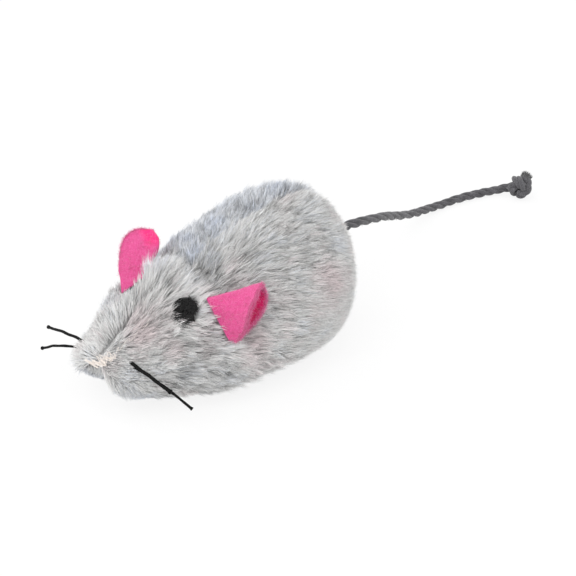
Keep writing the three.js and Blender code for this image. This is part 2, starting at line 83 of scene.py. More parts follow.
def make_camera():
    right, up, back = camera_axes()
    data = bpy.data.cameras.new("camera")
    data.sensor_width = SENSOR
    data.lens = SENSOR * FOCAL_PIXELS / FRAME_PIXELS
    data.clip_start, data.clip_end = CLIP_START, CLIP_END
    camera = put("camera", data)
    seen = (right * AIM_OFFSET[0] + up * AIM_OFFSET[1] - back * FOCAL_PIXELS).normalized()
    turn = (-back).rotation_difference(seen)
    basis = Matrix((right, up, back)).transposed()
    camera.rotation_mode = "QUATERNION"
    camera.rotation_quaternion = turn @ basis.to_quaternion()
    camera.location = (Vector(AIM) + back * DISTANCE) * MM
    scene.camera = camera


make_camera()

# Tail cord: its route from the rump to the knot
TAIL_EXIT = (0, 43.6, 23.5)
TAIL_DIAMETER = 2.6
TAIL_ROUTE = [
    (0, 46, 23.5), (0, 48.5, 23.5), (-0.2, 51.6, 23.2), (-0.6, 55.2, 22.5), (-1.7, 59.6, 21.2),
    (-3.4, 64.8, 19.3), (-6, 70.4, 16.8), (-8.9, 75.8, 13.9), (-11.7, 81.2, 11), (-14.4, 86.8, 8.1),
    (-16.8, 92.6, 5.5), (-18.6, 98.4, 3.6), (-19.8, 103.8, 2.3), (-20.2, 109, 1.6), (-19.9, 114, 1.4),
    (-19.2, 119, 1.4), (-18, 124.2, 1.4), (-16.2, 129.6, 1.5), (-13.4, 133.8, 2.45),
]
KNOT_CENTRE = np.array([-9.6, 135.1, 3.85])
CURVE_STEPS = 24


def unit(v):
    v = np.asarray(v, float)
    return v / np.maximum(np.linalg.norm(v, axis=-1, keepdims=True), 1e-9)


def towards(first, second, angle):
    """The direction at an angle from first to second."""
    return first * np.cos(angle)[..., None] + second * np.sin(angle)[..., None]


def square_to(v, axis):
    """The part of a vector that is square to an axis."""
    return v - axis * (v * axis).sum(-1, keepdims=True)


def curve(points, count):
    """A smooth line through points, as count points evenly spaced along it."""
    points = np.asarray(points, float)
    padded = np.concatenate([[2 * points[0] - points[1]], points, [2 * points[-1] - points[-2]]])
    dense = []
    for i in range(len(points) - 1):
        a, b, c, d = padded[i : i + 4]
        t = np.linspace(0, 1, CURVE_STEPS, endpoint=False)[:, None]
        dense.append(b + 0.5 * t * (c - a + t * (2 * a - 5 * b + 4 * c - d + t * (3 * (b - c) + d - a))))
    dense = np.concatenate([*dense, points[-1:]])
    run = np.concatenate([[0], np.cumsum(np.linalg.norm(np.diff(dense, axis=0), axis=1))])
    at = np.linspace(0, run[-1], count)
    return np.stack([np.interp(at, run, dense[:, k]) for k in range(3)], 1)


def line_length(points):
    return float(np.linalg.norm(np.diff(points, axis=0), axis=1).sum())


def sections(line):
    """Two axes square to a line at each of its points, which turn with it as little as they can."""
    along = unit(np.gradient(line, axis=0))
    side = [unit(np.cross(along[0], np.cross((1, 0, 0), along[0])))]
    for t in along[1:]:
        side.append(unit(side[-1] - t * (side[-1] @ t)))
    side = np.array(side)
    return side, np.cross(along, side)


# Random values that change smoothly from place to place
LATTICE_SIZE = 64
LATTICE = np.random.default_rng(5).random((LATTICE_SIZE, LATTICE_SIZE, LATTICE_SIZE)) * 2 - 1
LATTICE_START, SEED_SHIFT = 1000, 17.31


def noise(points, size, seed=0):
    """Values from -1 to 1 that change over about size."""
    place = np.asarray(points, float) / size + seed * SEED_SHIFT + LATTICE_START
    cell = np.floor(place).astype(int)
    rest = place - cell
    rest = rest * rest * (3 - 2 * rest)
    total = 0
    for corner in np.ndindex(2, 2, 2):
        weight = np.prod(np.where(np.array(corner) == 1, rest, 1 - rest), axis=-1)
        i, j, k = np.moveaxis((cell + corner) % LATTICE_SIZE, -1, 0)
        total = total + weight * LATTICE[i, j, k]
    return total


def rise(value, low, high):
    """Rises smoothly from 0 at low to 1 at high."""
    t = np.clip((value - low) / (high - low), 0, 1)
    return t * t * (3 - 2 * t)


def bell(distance, half_width):
    return np.exp(-((distance / half_width) ** 2))


def spot(points, place, half_width):
    """1 at a place, fading to 0 around it."""
    return bell(np.linalg.norm(points - np.array(place), axis=1), half_width)


# Body outline: the frame's, with widths, heights and neck fitted more closely to the photograph
LENGTH, WIDTH, HEIGHT = 88.4, 54.6, 42.4
SET_BACK = -0.53
SOLE_CUT = 0.5
WIDTH_SHARES = [0, 0.43, 0.593, 0.875, 0.97, 1, 0.8, 0.465, 0]
TOP_SHARES = [0.302, 0.391, 0.541, 0.758, 0.885, 0.977, 1, 0.83, 0.545]
BOTTOM_SHARES = [0.302, 0.144, 0.036, 0, 0, 0, 0.017, 0.212, 0.545]
WAIST = 0.41
BACK_ROUND, BELLY_ROUND = 1.84, 2.6
NECK_DEPTH, NECK_HALF, NECK_Y, NECK_SWEEP = 3.6, 7, -11.4, 8
NECK_LOW, NECK_FADE = -0.25, 0.6
BELLY_SEAM = -0.66
DIP_PLACE, DIP_DEPTH, DIP_HALF = (-10.5, -22, 27), 2.9, 5  # the hollow before the right ear
CREASE_DEPTH, CREASE_HALF, CREASE_FADE = 0.9, 2, 8  # along the back seam
CLEFT_DEPTH, CLEFT_HALF, CLEFT_REACH, CLEFT_TOP, CLEFT_FADE, CLEFT_LIFT = 3.4, 4.4, 0.3, 19, 10, 0.8
STEP = 0.001


def smooth_value(values, share):
    """A smooth curve through evenly spaced values, read at a share of its length."""
    values = np.asarray(values, float)
    last = len(values) - 1
    place = np.clip(share, 0, 1) * last
    index = np.minimum(np.floor(place).astype(int), last - 1)
    rest = place - index
    here, after = values[index], values[index + 1]
    before = np.where(index > 0, values[index - 1], 2 * here - after)
    beyond = np.where(index + 2 <= last, values[np.minimum(index + 2, last)], 2 * after - here)
    bend = 2 * before - 5 * here + 4 * after - beyond
    twist = 3 * (here - after) + beyond - before
    return here + 0.5 * rest * (after - before + rest * (bend + rest * twist))


def neck_share(angle):
    return rise(np.sin(angle), NECK_LOW, NECK_LOW + NECK_FADE)


def outside(along, angle):
    """A point of the body's outside, over the tips of the pile."""
    along, angle = np.broadcast_arrays(np.asarray(along, float), np.asarray(angle, float))
    half = np.maximum(0, smooth_value(WIDTH_SHARES, along) * WIDTH / 2)
    top = smooth_value(TOP_SHARES, along) * HEIGHT
    bottom = smooth_value(BOTTOM_SHARES, along) * HEIGHT - SOLE_CUT
    middle = bottom + (top - bottom) * WAIST
    cos, sin = np.cos(angle), np.sin(angle)
    power = np.where(sin >= 0, 2 / BACK_ROUND, 2 / BELLY_ROUND)
    reach = np.where(sin >= 0, top - middle, middle - bottom)
    across = np.sign(cos) * np.abs(cos) ** power * half
    up = np.sign(sin) * np.abs(sin) ** power * reach
    y = SET_BACK - LENGTH / 2 * np.cos(np.pi * along)
    dart = neck_share(angle)
    valley = NECK_DEPTH * dart * bell(y - NECK_Y - NECK_SWEEP * (1 - dart), NECK_HALF)
    spread = np.hypot(across, up)
    offsets = across - DIP_PLACE[0], y - DIP_PLACE[1], middle + up - DIP_PLACE[2]
    valley = valley + DIP_DEPTH * bell(np.sqrt(sum(offset**2 for offset in offsets)), DIP_HALF)
    kept = np.where(spread > valley, 1 - valley / np.maximum(spread, 1e-9), 1)
    x, z = across * kept, middle + up * kept
    z = z - CREASE_DEPTH * bell(x, CREASE_HALF) * rise(z - middle, 0, CREASE_FADE)
    cleft = CLEFT_DEPTH * bell(x, CLEFT_HALF) * rise(1 - along / CLEFT_REACH, 0, 1)
    cleft = cleft * rise(CLEFT_TOP - z, 0, CLEFT_FADE)
    return np.stack([x, y + cleft, z + CLEFT_LIFT * cleft], -1)


def outward(along, angle):
    back, front = outside(along + STEP, angle), outside(along - STEP, angle)
    over, under = outside(along, angle + STEP), outside(along, angle - STEP)
    return unit(np.cross(back - front, over - under))


def skin(along, angle, inset):
    """A point inset under the tips of the pile."""
    middle = np.array([0, SET_BACK, HEIGHT * WAIST])
    half = np.array([WIDTH, LENGTH, HEIGHT]) / 2
    kept = (half - np.asarray(inset, float)[..., None]) / half
    return (outside(along, angle) - middle) * kept + middle


# Meshes
def new_mesh(name, points, faces, uses, corners=None):
    """An object from points, the corners of all its faces in one row, and how many each face uses."""
    mesh = bpy.data.meshes.new(name)
    mesh.vertices.add(len(points))
    mesh.vertices.foreach_set("co", (np.asarray(points, np.float32) * MM).ravel())
    mesh.loops.add(len(faces))
    mesh.loops.foreach_set("vertex_index", np.asarray(faces, np.int32))
    mesh.polygons.add(len(uses))
    starts = np.concatenate([[0], np.cumsum(uses)[:-1]])
    mesh.polygons.foreach_set("loop_start", starts.astype(np.int32))
    if corners is not None:
        mesh.uv_layers.new(name="OFBake").data.foreach_set("uv", corners.astype(np.float32).ravel())
    mesh.update(calc_edges=True)
    mesh.validate()
    mesh.shade_smooth()
    return put(name, mesh)


def values_on(thing, **values):
    """Keeps one number per point under each name, for the materials."""
    for name, row in values.items():
        kept = thing.data.attributes.new(name, "FLOAT", "POINT")
        kept.data.foreach_set("value", row.astype(np.float32).ravel())


def dress(thing, material, body, slot, *nodes):
    thing.data.materials.clear()
    thing.data.materials.append(material)
    if body:
        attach(thing, body)
    if nodes:
        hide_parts(*nodes)
    return thing


def flip_if_inside_out(thing):
    """Turns the faces of a closed mesh to point outwards."""
    work = bmesh.new()
    work.from_mesh(thing.data)
    if work.calc_volume(signed=True) < 0:
        bmesh.ops.reverse_faces(work, faces=work.faces)
        work.to_mesh(thing.data)
    work.free()


def quads(rows, columns, wrap=False):
    """Faces between neighbouring rows of points, each row with columns points."""
    r, c = np.meshgrid(np.arange(rows - 1), np.arange(columns if wrap else columns - 1), indexing="ij")
    n = (c + 1) % columns
    corners = [r * columns + c, r * columns + n, (r + 1) * columns + n, (r + 1) * columns + c]
    return np.stack(corners, -1).reshape(-1, 4)


def closed_sheet(name, layers, rows, columns):
    """An object from two grids of points, joined along their edges."""
    count = rows * columns
    index = np.arange(count).reshape(rows, columns)
    ring = np.concatenate([index[0], index[1:, -1], index[-1, -2::-1], index[-2:0:-1, 0]])
    after = np.roll(ring, -1)
    rim = np.stack([ring, ring + count, after + count, after], 1)
    faces = np.concatenate([quads(rows, columns), quads(rows, columns)[:, ::-1] + count, rim])
    points = np.concatenate([layer.reshape(-1, 3) for layer in layers])
    sheet = new_mesh(name, points, faces.ravel(), np.full(len(faces), 4))
    flip_if_inside_out(sheet)
    return sheet


def fans(rows, columns, first, last):
    """Triangles that close both ends of wrapped rows, at the points numbered first and last."""
    edge = np.arange(columns)
    after = (edge + 1) % columns
    base = (rows - 1) * columns
    return np.concatenate(
        [
            np.stack([after, edge, np.full(columns, first)], 1),
            np.stack([base + edge, base + after, np.full(columns, last)], 1),
        ]
    )


def tube_arrays(line, radii, sides=8):
    """Points and faces of a closed round tube with a point at each end."""
    side, other = sections(line)
    turn = 2 * np.pi * np.arange(sides) / sides
    radii = np.broadcast_to(radii, len(line))[:, None, None]
    points = (line[:, None] + towards(side[:, None], other[:, None], turn) * radii).reshape(-1, 3)
    faces = quads(len(line), sides, wrap=True)
    caps = fans(len(line), sides, len(points), len(points) + 1)
    return np.concatenate([points, line[:1], line[-1:]]), faces, caps


def tubes(name, parts):
    """One object from several closed tubes."""
    points, flat, uses, count = [], [], [], 0
    for p, faces, caps in parts:
        points.append(p)
        flat += [(faces + count).ravel(), (caps + count).ravel()]
        uses += [np.full(len(faces), 4), np.full(len(caps), 3)]
        count += len(p)
    return new_mesh(name, np.concatenate(points), np.concatenate(flat), np.concatenate(uses))


# Strands of fur and fibre
CELLS, CELL_MARGIN = 96, 0.1
BANDS, BAND_MARGIN = 5, 0.05
STRAND_TAPER, STRAND_TAPER_POWER, STRAND_FLATNESS = 0.75, 1.6, 0.6
STRAND_LOWEST = 0.12


def grow(roots, normals, flows, lengths, start_tilt, end_tilt, segments=3):
    """Centrelines of strands that start and end at these tilts from the surface's normals."""
    share = (np.arange(segments) + 0.5) / segments
    tilt = start_tilt[:, None] + (end_tilt - start_tilt)[:, None] * share
    step = towards(normals[:, None], flows[:, None], tilt) * (lengths / segments)[:, None, None]
    return np.concatenate([roots[:, None], roots[:, None] + np.cumsum(step, axis=1)], axis=1)


def strand_object(name, lines, laterals, widths, shades, tints=0.5):
    """Closed three-sided tapering strands along lines, each with its shade and tint.

    The bake's map has a column for each shade and a band for each tint, with the root at its foot."""
    count, rings = lines.shape[0], lines.shape[1] - 1
    lines = lines.copy()
    lines[..., 2] = np.maximum(lines[..., 2], STRAND_LOWEST)
    tangents = unit(np.gradient(lines, axis=1))[:, :rings]
    lateral = unit(square_to(laterals[:, None], tangents))
    other = np.cross(tangents, lateral)
    turn = np.pi / 2 + 2 * np.pi * np.arange(3) / 3
    taper = (1 - STRAND_TAPER * (np.arange(rings) / rings) ** STRAND_TAPER_POWER)[None, :]
    taper = taper * widths[:, None] / 2
    ring = lateral[:, :, None] * np.cos(turn)[:, None]
    ring = ring + STRAND_FLATNESS * other[:, :, None] * np.sin(turn)[:, None]
    ring = lines[:, :rings, None] + ring * taper[..., None, None]
    points = np.concatenate([ring.reshape(count, -1, 3), lines[:, rings:]], axis=1)
    per = points.shape[1]
    tip = per - 1
    faces, uses, sides, shares = [0, 2, 1], [3], [0, 2, 1], [0, 0, 0]
    for k in range(rings):
        for s in range(3):
            n = (s + 1) % 3
            if k < rings - 1:
                faces += [3 * k + s, 3 * k + n, 3 * k + 3 + n, 3 * k + 3 + s]
                uses.append(4)
                sides += [s, s + 1, s + 1, s]
                shares += [k, k, k + 1, k + 1]
            else:
                faces += [3 * k + s, 3 * k + n, tip]
                uses.append(3)
                sides += [s, s + 1, s + 0.5]
                shares += [k, k, rings]
    shades = np.clip(shades, 0, 1)
    cell = np.minimum(np.floor(shades * CELLS), CELLS - 1)
    across = (cell[:, None] + CELL_MARGIN + (1 - 2 * CELL_MARGIN) * np.array(sides)[None] / 3) / CELLS
    band = np.minimum(np.floor(np.clip(np.broadcast_to(tints, shades.shape), 0, 1) * BANDS), BANDS - 1)
    upwards = band[:, None] + BAND_MARGIN + (1 - 2 * BAND_MARGIN) * np.array(shares)[None] / rings
    corners = np.stack([across, upwards / BANDS], -1).reshape(-1, 2)
    all_faces = (np.arange(count)[:, None] * per + np.array(faces)[None]).ravel()
    thing = new_mesh(name, points.reshape(-1, 3), all_faces, np.tile(uses, count), corners)
    share = np.concatenate([np.repeat(np.arange(rings), 3), [rings]]) / rings
    values_on(
        thing,
        shade=np.repeat((cell + 0.5) / CELLS, per),
        tint=np.repeat((band + 0.5) / BANDS, per),
        run=np.tile(share, count),
    )
    return thing


def fibres(name, roots, normals, flow, draw, lengths, tilts, width, segments=3, mirror=1, shades=None):
    """Loose fibres of one width, their start and end tilts drawn between limits in degrees."""
    count = len(roots)
    start, end = [np.radians(draw.uniform(low, high, count)) for low, high in tilts]
    lines = grow(roots, normals, flow, lengths, start, end, segments) * mirror
    shades = draw.random(count) if shades is None else shades
    return strand_object(name, lines, np.cross(normals, flow) * mirror, np.full(count, width), shades)


# Materials
def srgb(*parts):
    """A colour from its 0 to 255 sRGB parts."""
    linear = [p / 255 for p in parts]
    return (*[p / 12.92 if p <= 0.04045 else ((p + 0.055) / 1.055) ** 2.4 for p in linear], 1)


def grey(value):
    return srgb(value, value, value)


class Shader:
    """A material and the nodes that it is built from."""

    def __init__(self, name, roughness, sheen=0.0, specular=0.3):
        self.material = bpy.data.materials.new(name)
        self.material.use_nodes = True
        self.nodes, self.links = self.material.node_tree.nodes, self.material.node_tree.links
        self.surface = self.nodes["Principled BSDF"]
        self.surface.inputs["Roughness"].default_value = roughness
        self.surface.inputs["Specular IOR Level"].default_value = specular
        if sheen:
            self.surface.inputs["Sheen Weight"].default_value = sheen
            self.surface.inputs["Sheen Roughness"].default_value = 0.5

    def node(self, kind, **settings):
        made = self.nodes.new("ShaderNode" + kind)
        for key, value in settings.items():
            if key in made.inputs:
                made.inputs[key].default_value = value
            else:
                setattr(made, key, value)
        return made

    def link(self, source, target):
        self.links.new(source, target)
        return self

    def value(self, name):
        return self.node("Attribute", attribute_name=name).outputs["Fac"]

    def noise(self, size, detail=3, rough=0.6):
        made = self.node("TexNoise", Scale=1 / (size * MM), Detail=detail, Roughness=rough)
        self.link(self.node("TexCoord").outputs["Object"], made.inputs["Vector"])
        return made.outputs["Fac"]

    def ramp(self, source, *stops):
        made = self.node("ValToRGB")
        elements = made.color_ramp.elements
        while len(elements) < len(stops):
            elements.new(0.5)
        for element, (at, colour) in zip(elements, stops):
            element.position, element.color = at, colour
        self.link(source, made.inputs["Fac"])
        return made.outputs["Color"]

    def mix(self, kind, one, other, share=1.0):
        made = self.node("Mix", data_type="RGBA", blend_type=kind)
        for socket, given in ((0, share), (6, one), (7, other)):
            if isinstance(given, bpy.types.NodeSocket):
                self.link(given, made.inputs[socket])
            else:
                made.inputs[socket].default_value = given
        return made.outputs[2]

    def colour(self, source):
        return self.link(source, self.surface.inputs["Base Color"])

    def bump(self, source, height, strength=0.6):
        made = self.node("Bump", Strength=strength, Distance=height * MM)
        self.link(source, made.inputs["Height"])
        self.link(made.outputs["Normal"], self.surface.inputs["Normal"])
        return self


def fur_material():
    """Each strand has its own grey, darker towards the root as painted shade, and leans to blue or to
    pink.
    """
    shader = Shader("plush_pile", 0.7, sheen=0.2, specular=0.15)
    greys = ((0.0, grey(124)), (0.3, grey(188)), (0.6, grey(234)), (1.0, grey(255)))
    root_shades = ((0.0, grey(212)), (0.4, grey(244)), (1.0, grey(255)))
    tints = ((0.1, srgb(238, 244, 255)), (0.5, srgb(254, 254, 253)), (0.9, srgb(255, 243, 244)))
    tone = shader.ramp(shader.value("shade"), *greys)
    # painted shade: each strand darkens towards its root
    depth = shader.ramp(shader.value("run"), *root_shades)
    tint = shader.ramp(shader.value("tint"), *tints)
    shader.colour(shader.mix("MULTIPLY", shader.mix("MULTIPLY", tone, depth), tint))
    return shader.material


def cloth_material():
    # the backing's grey, darker than the pile's, is painted shade between the strands
    shader = Shader("plush_backing", 0.9, specular=0.15)
    shader.colour(shader.ramp(shader.noise(0.9, 4), (0.3, grey(170)), (0.7, grey(200))))
    return shader.bump(shader.noise(0.4), 0.3).material


def felt_material():
    """Felt, with painted shade deepening its colour inside its fold."""
    shader = Shader("pink_felt", 0.95, sheen=0.2, specular=0.1)
    outer = ((0.3, srgb(190, 58, 114)), (0.5, srgb(203, 76, 133)), (0.72, srgb(217, 106, 160)))
    inner = ((0.3, srgb(214, 30, 104)), (0.5, srgb(226, 46, 118)), (0.72, srgb(236, 68, 138)))
    fine = shader.ramp(shader.noise(0.35, 5, rough=0.7), *outer)
    deep = shader.ramp(shader.noise(0.4, 5, rough=0.7), *inner)
    shader.colour(shader.mix("MIX", fine, deep, shader.value("deep")))
    return shader.bump(shader.noise(0.28, 5, rough=0.7), 0.22).material


def cord_material():
    """Spun fibre: fine dark and pale specks, and broader worn and dark stretches."""
    shader = Shader("grey_cord", 0.88, sheen=0.25, specular=0.2)
    greys = ((0.3, grey(62)), (0.52, srgb(89, 88, 92)), (0.75, srgb(124, 123, 127)))
    fine = shader.ramp(shader.noise(0.3, 5, rough=0.7), *greys)
    broad = shader.ramp(shader.noise(3.2), (0.35, grey(205)), (0.65, grey(255)))
    shader.colour(shader.mix("MULTIPLY", fine, broad))
    return shader.bump(shader.noise(0.22, 4), 0.2, 0.7).material


def thread_material(name, dark, light, roughness=0.8, size=0.25, sheen=0.1, specular=0.3):
    shader = Shader(name, roughness, sheen=sheen, specular=specular)
    shader.colour(shader.ramp(shader.noise(size, 4, rough=0.65), (0.32, dark), (0.68, light)))
    return shader.bump(shader.noise(size * 0.6, 4), 0.12).material


def strand_material(name, dark, light, roughness=0.75, sheen=0.1, specular=0.25):
    shader = Shader(name, roughness, sheen=sheen, specular=specular)
    shader.colour(shader.ramp(shader.value("shade"), (0.0, dark), (1.0, light)))
    return shader.material


FUR = fur_material()
CLOTH = cloth_material()
FELT = felt_material()
FELT_FIBRE = strand_material("pink_felt_fibre", srgb(214, 76, 136), srgb(240, 140, 188), 0.85, 0.3, 0.15)
EYE = thread_material("black_thread", grey(6), grey(14), 0.9, sheen=0.0, specular=0.1)
EYE_FIBRE = strand_material("black_fibre", grey(6), grey(36), specular=0.15)
WAXED = thread_material("waxed_thread", grey(5), grey(18), 0.7, 0.5, sheen=0.0, specular=0.12)
CREAM = thread_material("cream_thread", srgb(216, 206, 198), srgb(242, 235, 228), 0.8)
GREY_THREAD = thread_material("grey_thread", grey(138), grey(172), 0.85)
CORD = cord_material()
CORD_FIBRE = strand_material("cord_fibre", grey(66), grey(124))
WADDING = thread_material("wadding", srgb(232, 231, 226), srgb(250, 249, 246), 1.0, 1.6)
LEAF = thread_material("dried_leaf", srgb(92, 98, 52), srgb(150, 152, 98), 1.0, 0.7)

# Tail
TAIL_POINTS = 260
PLIES, PLY_SIDES = 3, 10
PLY_RADIUS, PLY_RADIUS_VARIES = 0.71, 0.06
PLY_OFFSET, PLY_OFFSET_VARIES = 0.66, 0.07
TWIST_LENGTH = 9.6
SLACKEST_TWIST = 0.35
TAIL_LOWEST = 1.47
INTO_KNOT = np.array([[0.35], [0.7], [1.0], [1.3]])
KNOT_FLARE, KNOT_FLARE_LENGTH = 0.45, 5.5
CORD_VARIES = 0.06
KNOT_REACH, KNOT_LOBES, KNOT_WIDTH, KNOT_TURN = 1.85, 0.65, 1.8, 0.4
KNOT_SCALE = 1.12
END_DIRECTION = np.array([-0.1, 0.8, 0.6])
END_BEND, END_TIP, END_POINTS = 2.2, 4.9, 24
FRAY_COUNT, FRAY_RADIUS, FRAY_FROM, FRAY_WIDTH = 900, 1.15, 14, 0.22
FUZZ_COUNT, FUZZ_LENGTH, FUZZ_WIDTH = 1500, 0.7, 0.07


def plies(line, scale=1.0, phase=0.0):
    """The strands of a twisted cord round a line. Its twist is slacker where it runs to the camera."""
    side, other = sections(line)
    step = np.diff(line, axis=0)
    seen = np.sqrt(np.maximum(0, 1 - (unit(step) @ TO_CAMERA) ** 2))
    size = np.linalg.norm(step, axis=1)
    run = np.concatenate([[0], np.cumsum(size)])
    turned = np.concatenate([[0], np.cumsum(size * np.clip(seen, SLACKEST_TWIST, 1))]) / TWIST_LENGTH
    from_start = np.arange(len(line))
    ends = np.minimum(1, 0.35 + np.minimum(from_start, from_start[::-1]) / 3)
    parts = []
    for ply in range(PLIES):
        turn = phase + 2 * np.pi * (ply / PLIES + turned) + 0.25 * np.sin(run / 5.3)
        wander = 1 + PLY_OFFSET_VARIES * noise(line + ply * 31, 3.5, 3)
        centre = line + towards(side, other, turn) * (PLY_OFFSET * scale * wander)[:, None]
        radius = PLY_RADIUS * scale * (1 + PLY_RADIUS_VARIES * noise(line + ply * 57, 1.6, 4))
        parts.append(tube_arrays(centre, radius * ends, PLY_SIDES))
    return parts


def tail_fuzz(line):
    """Short loose fibres that stand off the cord."""
    draw = np.random.default_rng(31)
    side, other = sections(line)
    along = unit(np.gradient(line, axis=0))
    at = draw.integers(2, len(line) - 2, FUZZ_COUNT)
    turn = draw.random(FUZZ_COUNT) * 2 * np.pi
    normal = towards(side[at], other[at], turn)
    either_way = draw.choice([-1, 1], FUZZ_COUNT)[:, None]
    flow = unit(along[at] * either_way + draw.normal(0, 0.6, (FUZZ_COUNT, 3)))
    flow = unit(square_to(flow, normal))
    roots = line[at] + normal * TAIL_DIAMETER / 2 * 0.8
    lengths = FUZZ_LENGTH * draw.uniform(0.5, 1.3, FUZZ_COUNT)
    tilts = (25, 75), (70, 125)
    shades = np.random.default_rng(20).random(FUZZ_COUNT)
    return fibres("tail_fuzz", roots, normal, flow, draw, lengths, tilts, FUZZ_WIDTH, shades=shades)


def knot_lines():
    """The cord's way through the overhand knot, and the end that comes out of it."""
    angle = 2 * np.pi * np.linspace(-0.12, 0.80, 90)
    reach = KNOT_REACH + KNOT_LOBES * np.cos(3 * angle)
    loop = [reach * np.cos(2 * angle), KNOT_WIDTH * np.sin(3 * angle), reach * np.sin(2 * angle)]
    cos, sin = math.cos(KNOT_TURN), math.sin(KNOT_TURN)
    loop = np.stack(loop, -1) @ np.array([[cos, sin, 0], [-sin, cos, 0], [0, 0, 1]]) + KNOT_CENTRE
    direction = unit(END_DIRECTION)
    end = [loop[-1], KNOT_CENTRE + direction * END_BEND, KNOT_CENTRE + direction * END_TIP]
    return loop, curve(end, END_POINTS)


def fray_object(end_line):
    """The cord's cut end, its fibres spread out of their twist."""
    draw = np.random.default_rng(12)
    direction = unit(END_DIRECTION)
    side = unit(np.cross(direction, (0, 0, 1)))
    other = np.cross(side, direction)
    turn = draw.random(FRAY_COUNT) * 2 * np.pi
    reach = np.sqrt(draw.random(FRAY_COUNT))
    radial = towards(side, other, turn)
    roots = end_line[-FRAY_FROM] + radial * (reach * FRAY_RADIUS)[:, None]
    lean = np.radians(2 + 10 * reach + draw.normal(0, 4, FRAY_COUNT))
    outwards = np.broadcast_to(direction, roots.shape)
    lines = grow(roots, outwards, radial, draw.uniform(2.4, 3.6, FRAY_COUNT), lean, lean * 0.7, 4)
    lateral, widths = np.cross(radial, direction), np.full(FRAY_COUNT, FRAY_WIDTH)
    return strand_object("tail_frayed_end", lines, lateral, widths, draw.random(FRAY_COUNT))


def make_tail():
    line = curve([TAIL_EXIT, *TAIL_ROUTE], TAIL_POINTS)
    line = np.concatenate([line, line[-1:] + (KNOT_CENTRE - line[-1:]) * INTO_KNOT])
    line[:, 2] = np.maximum(line[:, 2], TAIL_LOWEST)
    to_knot = np.linalg.norm(line - line[-1], axis=1)
    scale = 1 + KNOT_FLARE * bell(to_knot, KNOT_FLARE_LENGTH) + CORD_VARIES * noise(line, 9, 2)
    tail = tubes("tail_cord_twisted", plies(line, scale))
    dress(tail, CORD, None, "cord", "tail_root", "tail_cord")
    knot_line, end_line = knot_lines()
    knot = tubes("tail_overhand_knot", plies(knot_line, KNOT_SCALE, 1.0) + plies(end_line, 1.0, 0.4))
    dress(knot, CORD, "tail", "cord", "tail_knot")
    fray = fray_object(end_line)
    dress(fray, CORD_FIBRE, "tail", "cord")
    fuzz = tail_fuzz(line[6:])
    dress(fuzz, CORD_FIBRE, None, "cord")
    for thing in (tail, fuzz):
        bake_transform(thing)


make_tail()

# Eyes: where they sit, how deep, and their two lobes
EYE_ALONG, EYE_ANGLE = np.array([0.352]), np.array([1.005])
LEFT_EYE_DEPTH, RIGHT_EYE_DEPTH = 0.9, 1.7
EYE_TILT = 0.75
EYE_AXIS = (math.cos(EYE_TILT), -math.sin(EYE_TILT))
EYE_LOBES = [(-1.1, 2.85), (1.55, 2.45)]


def eye_frame(side):
    """Centre and axes of an eye's patch, mirrored to the left side for the right eye."""
    mirror = np.array([side, 1, 1])
    angle = EYE_ANGLE if side > 0 else np.pi - EYE_ANGLE
    depth = np.array([LEFT_EYE_DEPTH if side > 0 else RIGHT_EYE_DEPTH])
    centre, normal = skin(EYE_ALONG, angle, depth)[0] * mirror, outward(EYE_ALONG, angle)[0] * mirror
    turn = Vector((0, 0, 1)).rotation_difference(Vector(normal)).to_matrix()
    return centre, normal, np.array(turn @ Vector((1, 0, 0))), np.array(turn @ Vector((0, 1, 0)))


# Ears: a leaf folded along its inner edge, with its heights from the fold to the free edges
EAR_BASE, EAR_PINCH, EAR_BULGE, FELT_THICKNESS = 12.5, 0.65, 1.4, 1.0
EAR_FOLD_SHARE = 0.25
EARS = dict(
    left=dict(
        side=1, centre=(17.7, -13.4, 24.6), direction=(0.745, 0, -0.667), lean=0.74,
        heights=[14.2, 12.4, 9.4, 5.4, 0.9], longer=0.04, shorter=(0.28, 0.5, 0.36),
        fold_step=3.9, side_step=1, fold_bow=0, mouth=2.6, twist=0.42, narrow=0,
        root=-0.05, nearer=(0, 0),
    ),
    right=dict(
        side=-1, centre=(16, -15.3, 24.9), direction=(0.603, -0.354, -0.715), lean=1.1,
        heights=[8.8, 11.3, 11.2, 8.5, 4], longer=0.02, shorter=(0.10, 0.5, 0.36),
        fold_step=-2, side_step=-1.9, fold_bow=3, mouth=0.6, twist=0.14, narrow=1.2,
        root=-0.42, nearer=(3, 2.4),
    ),
)


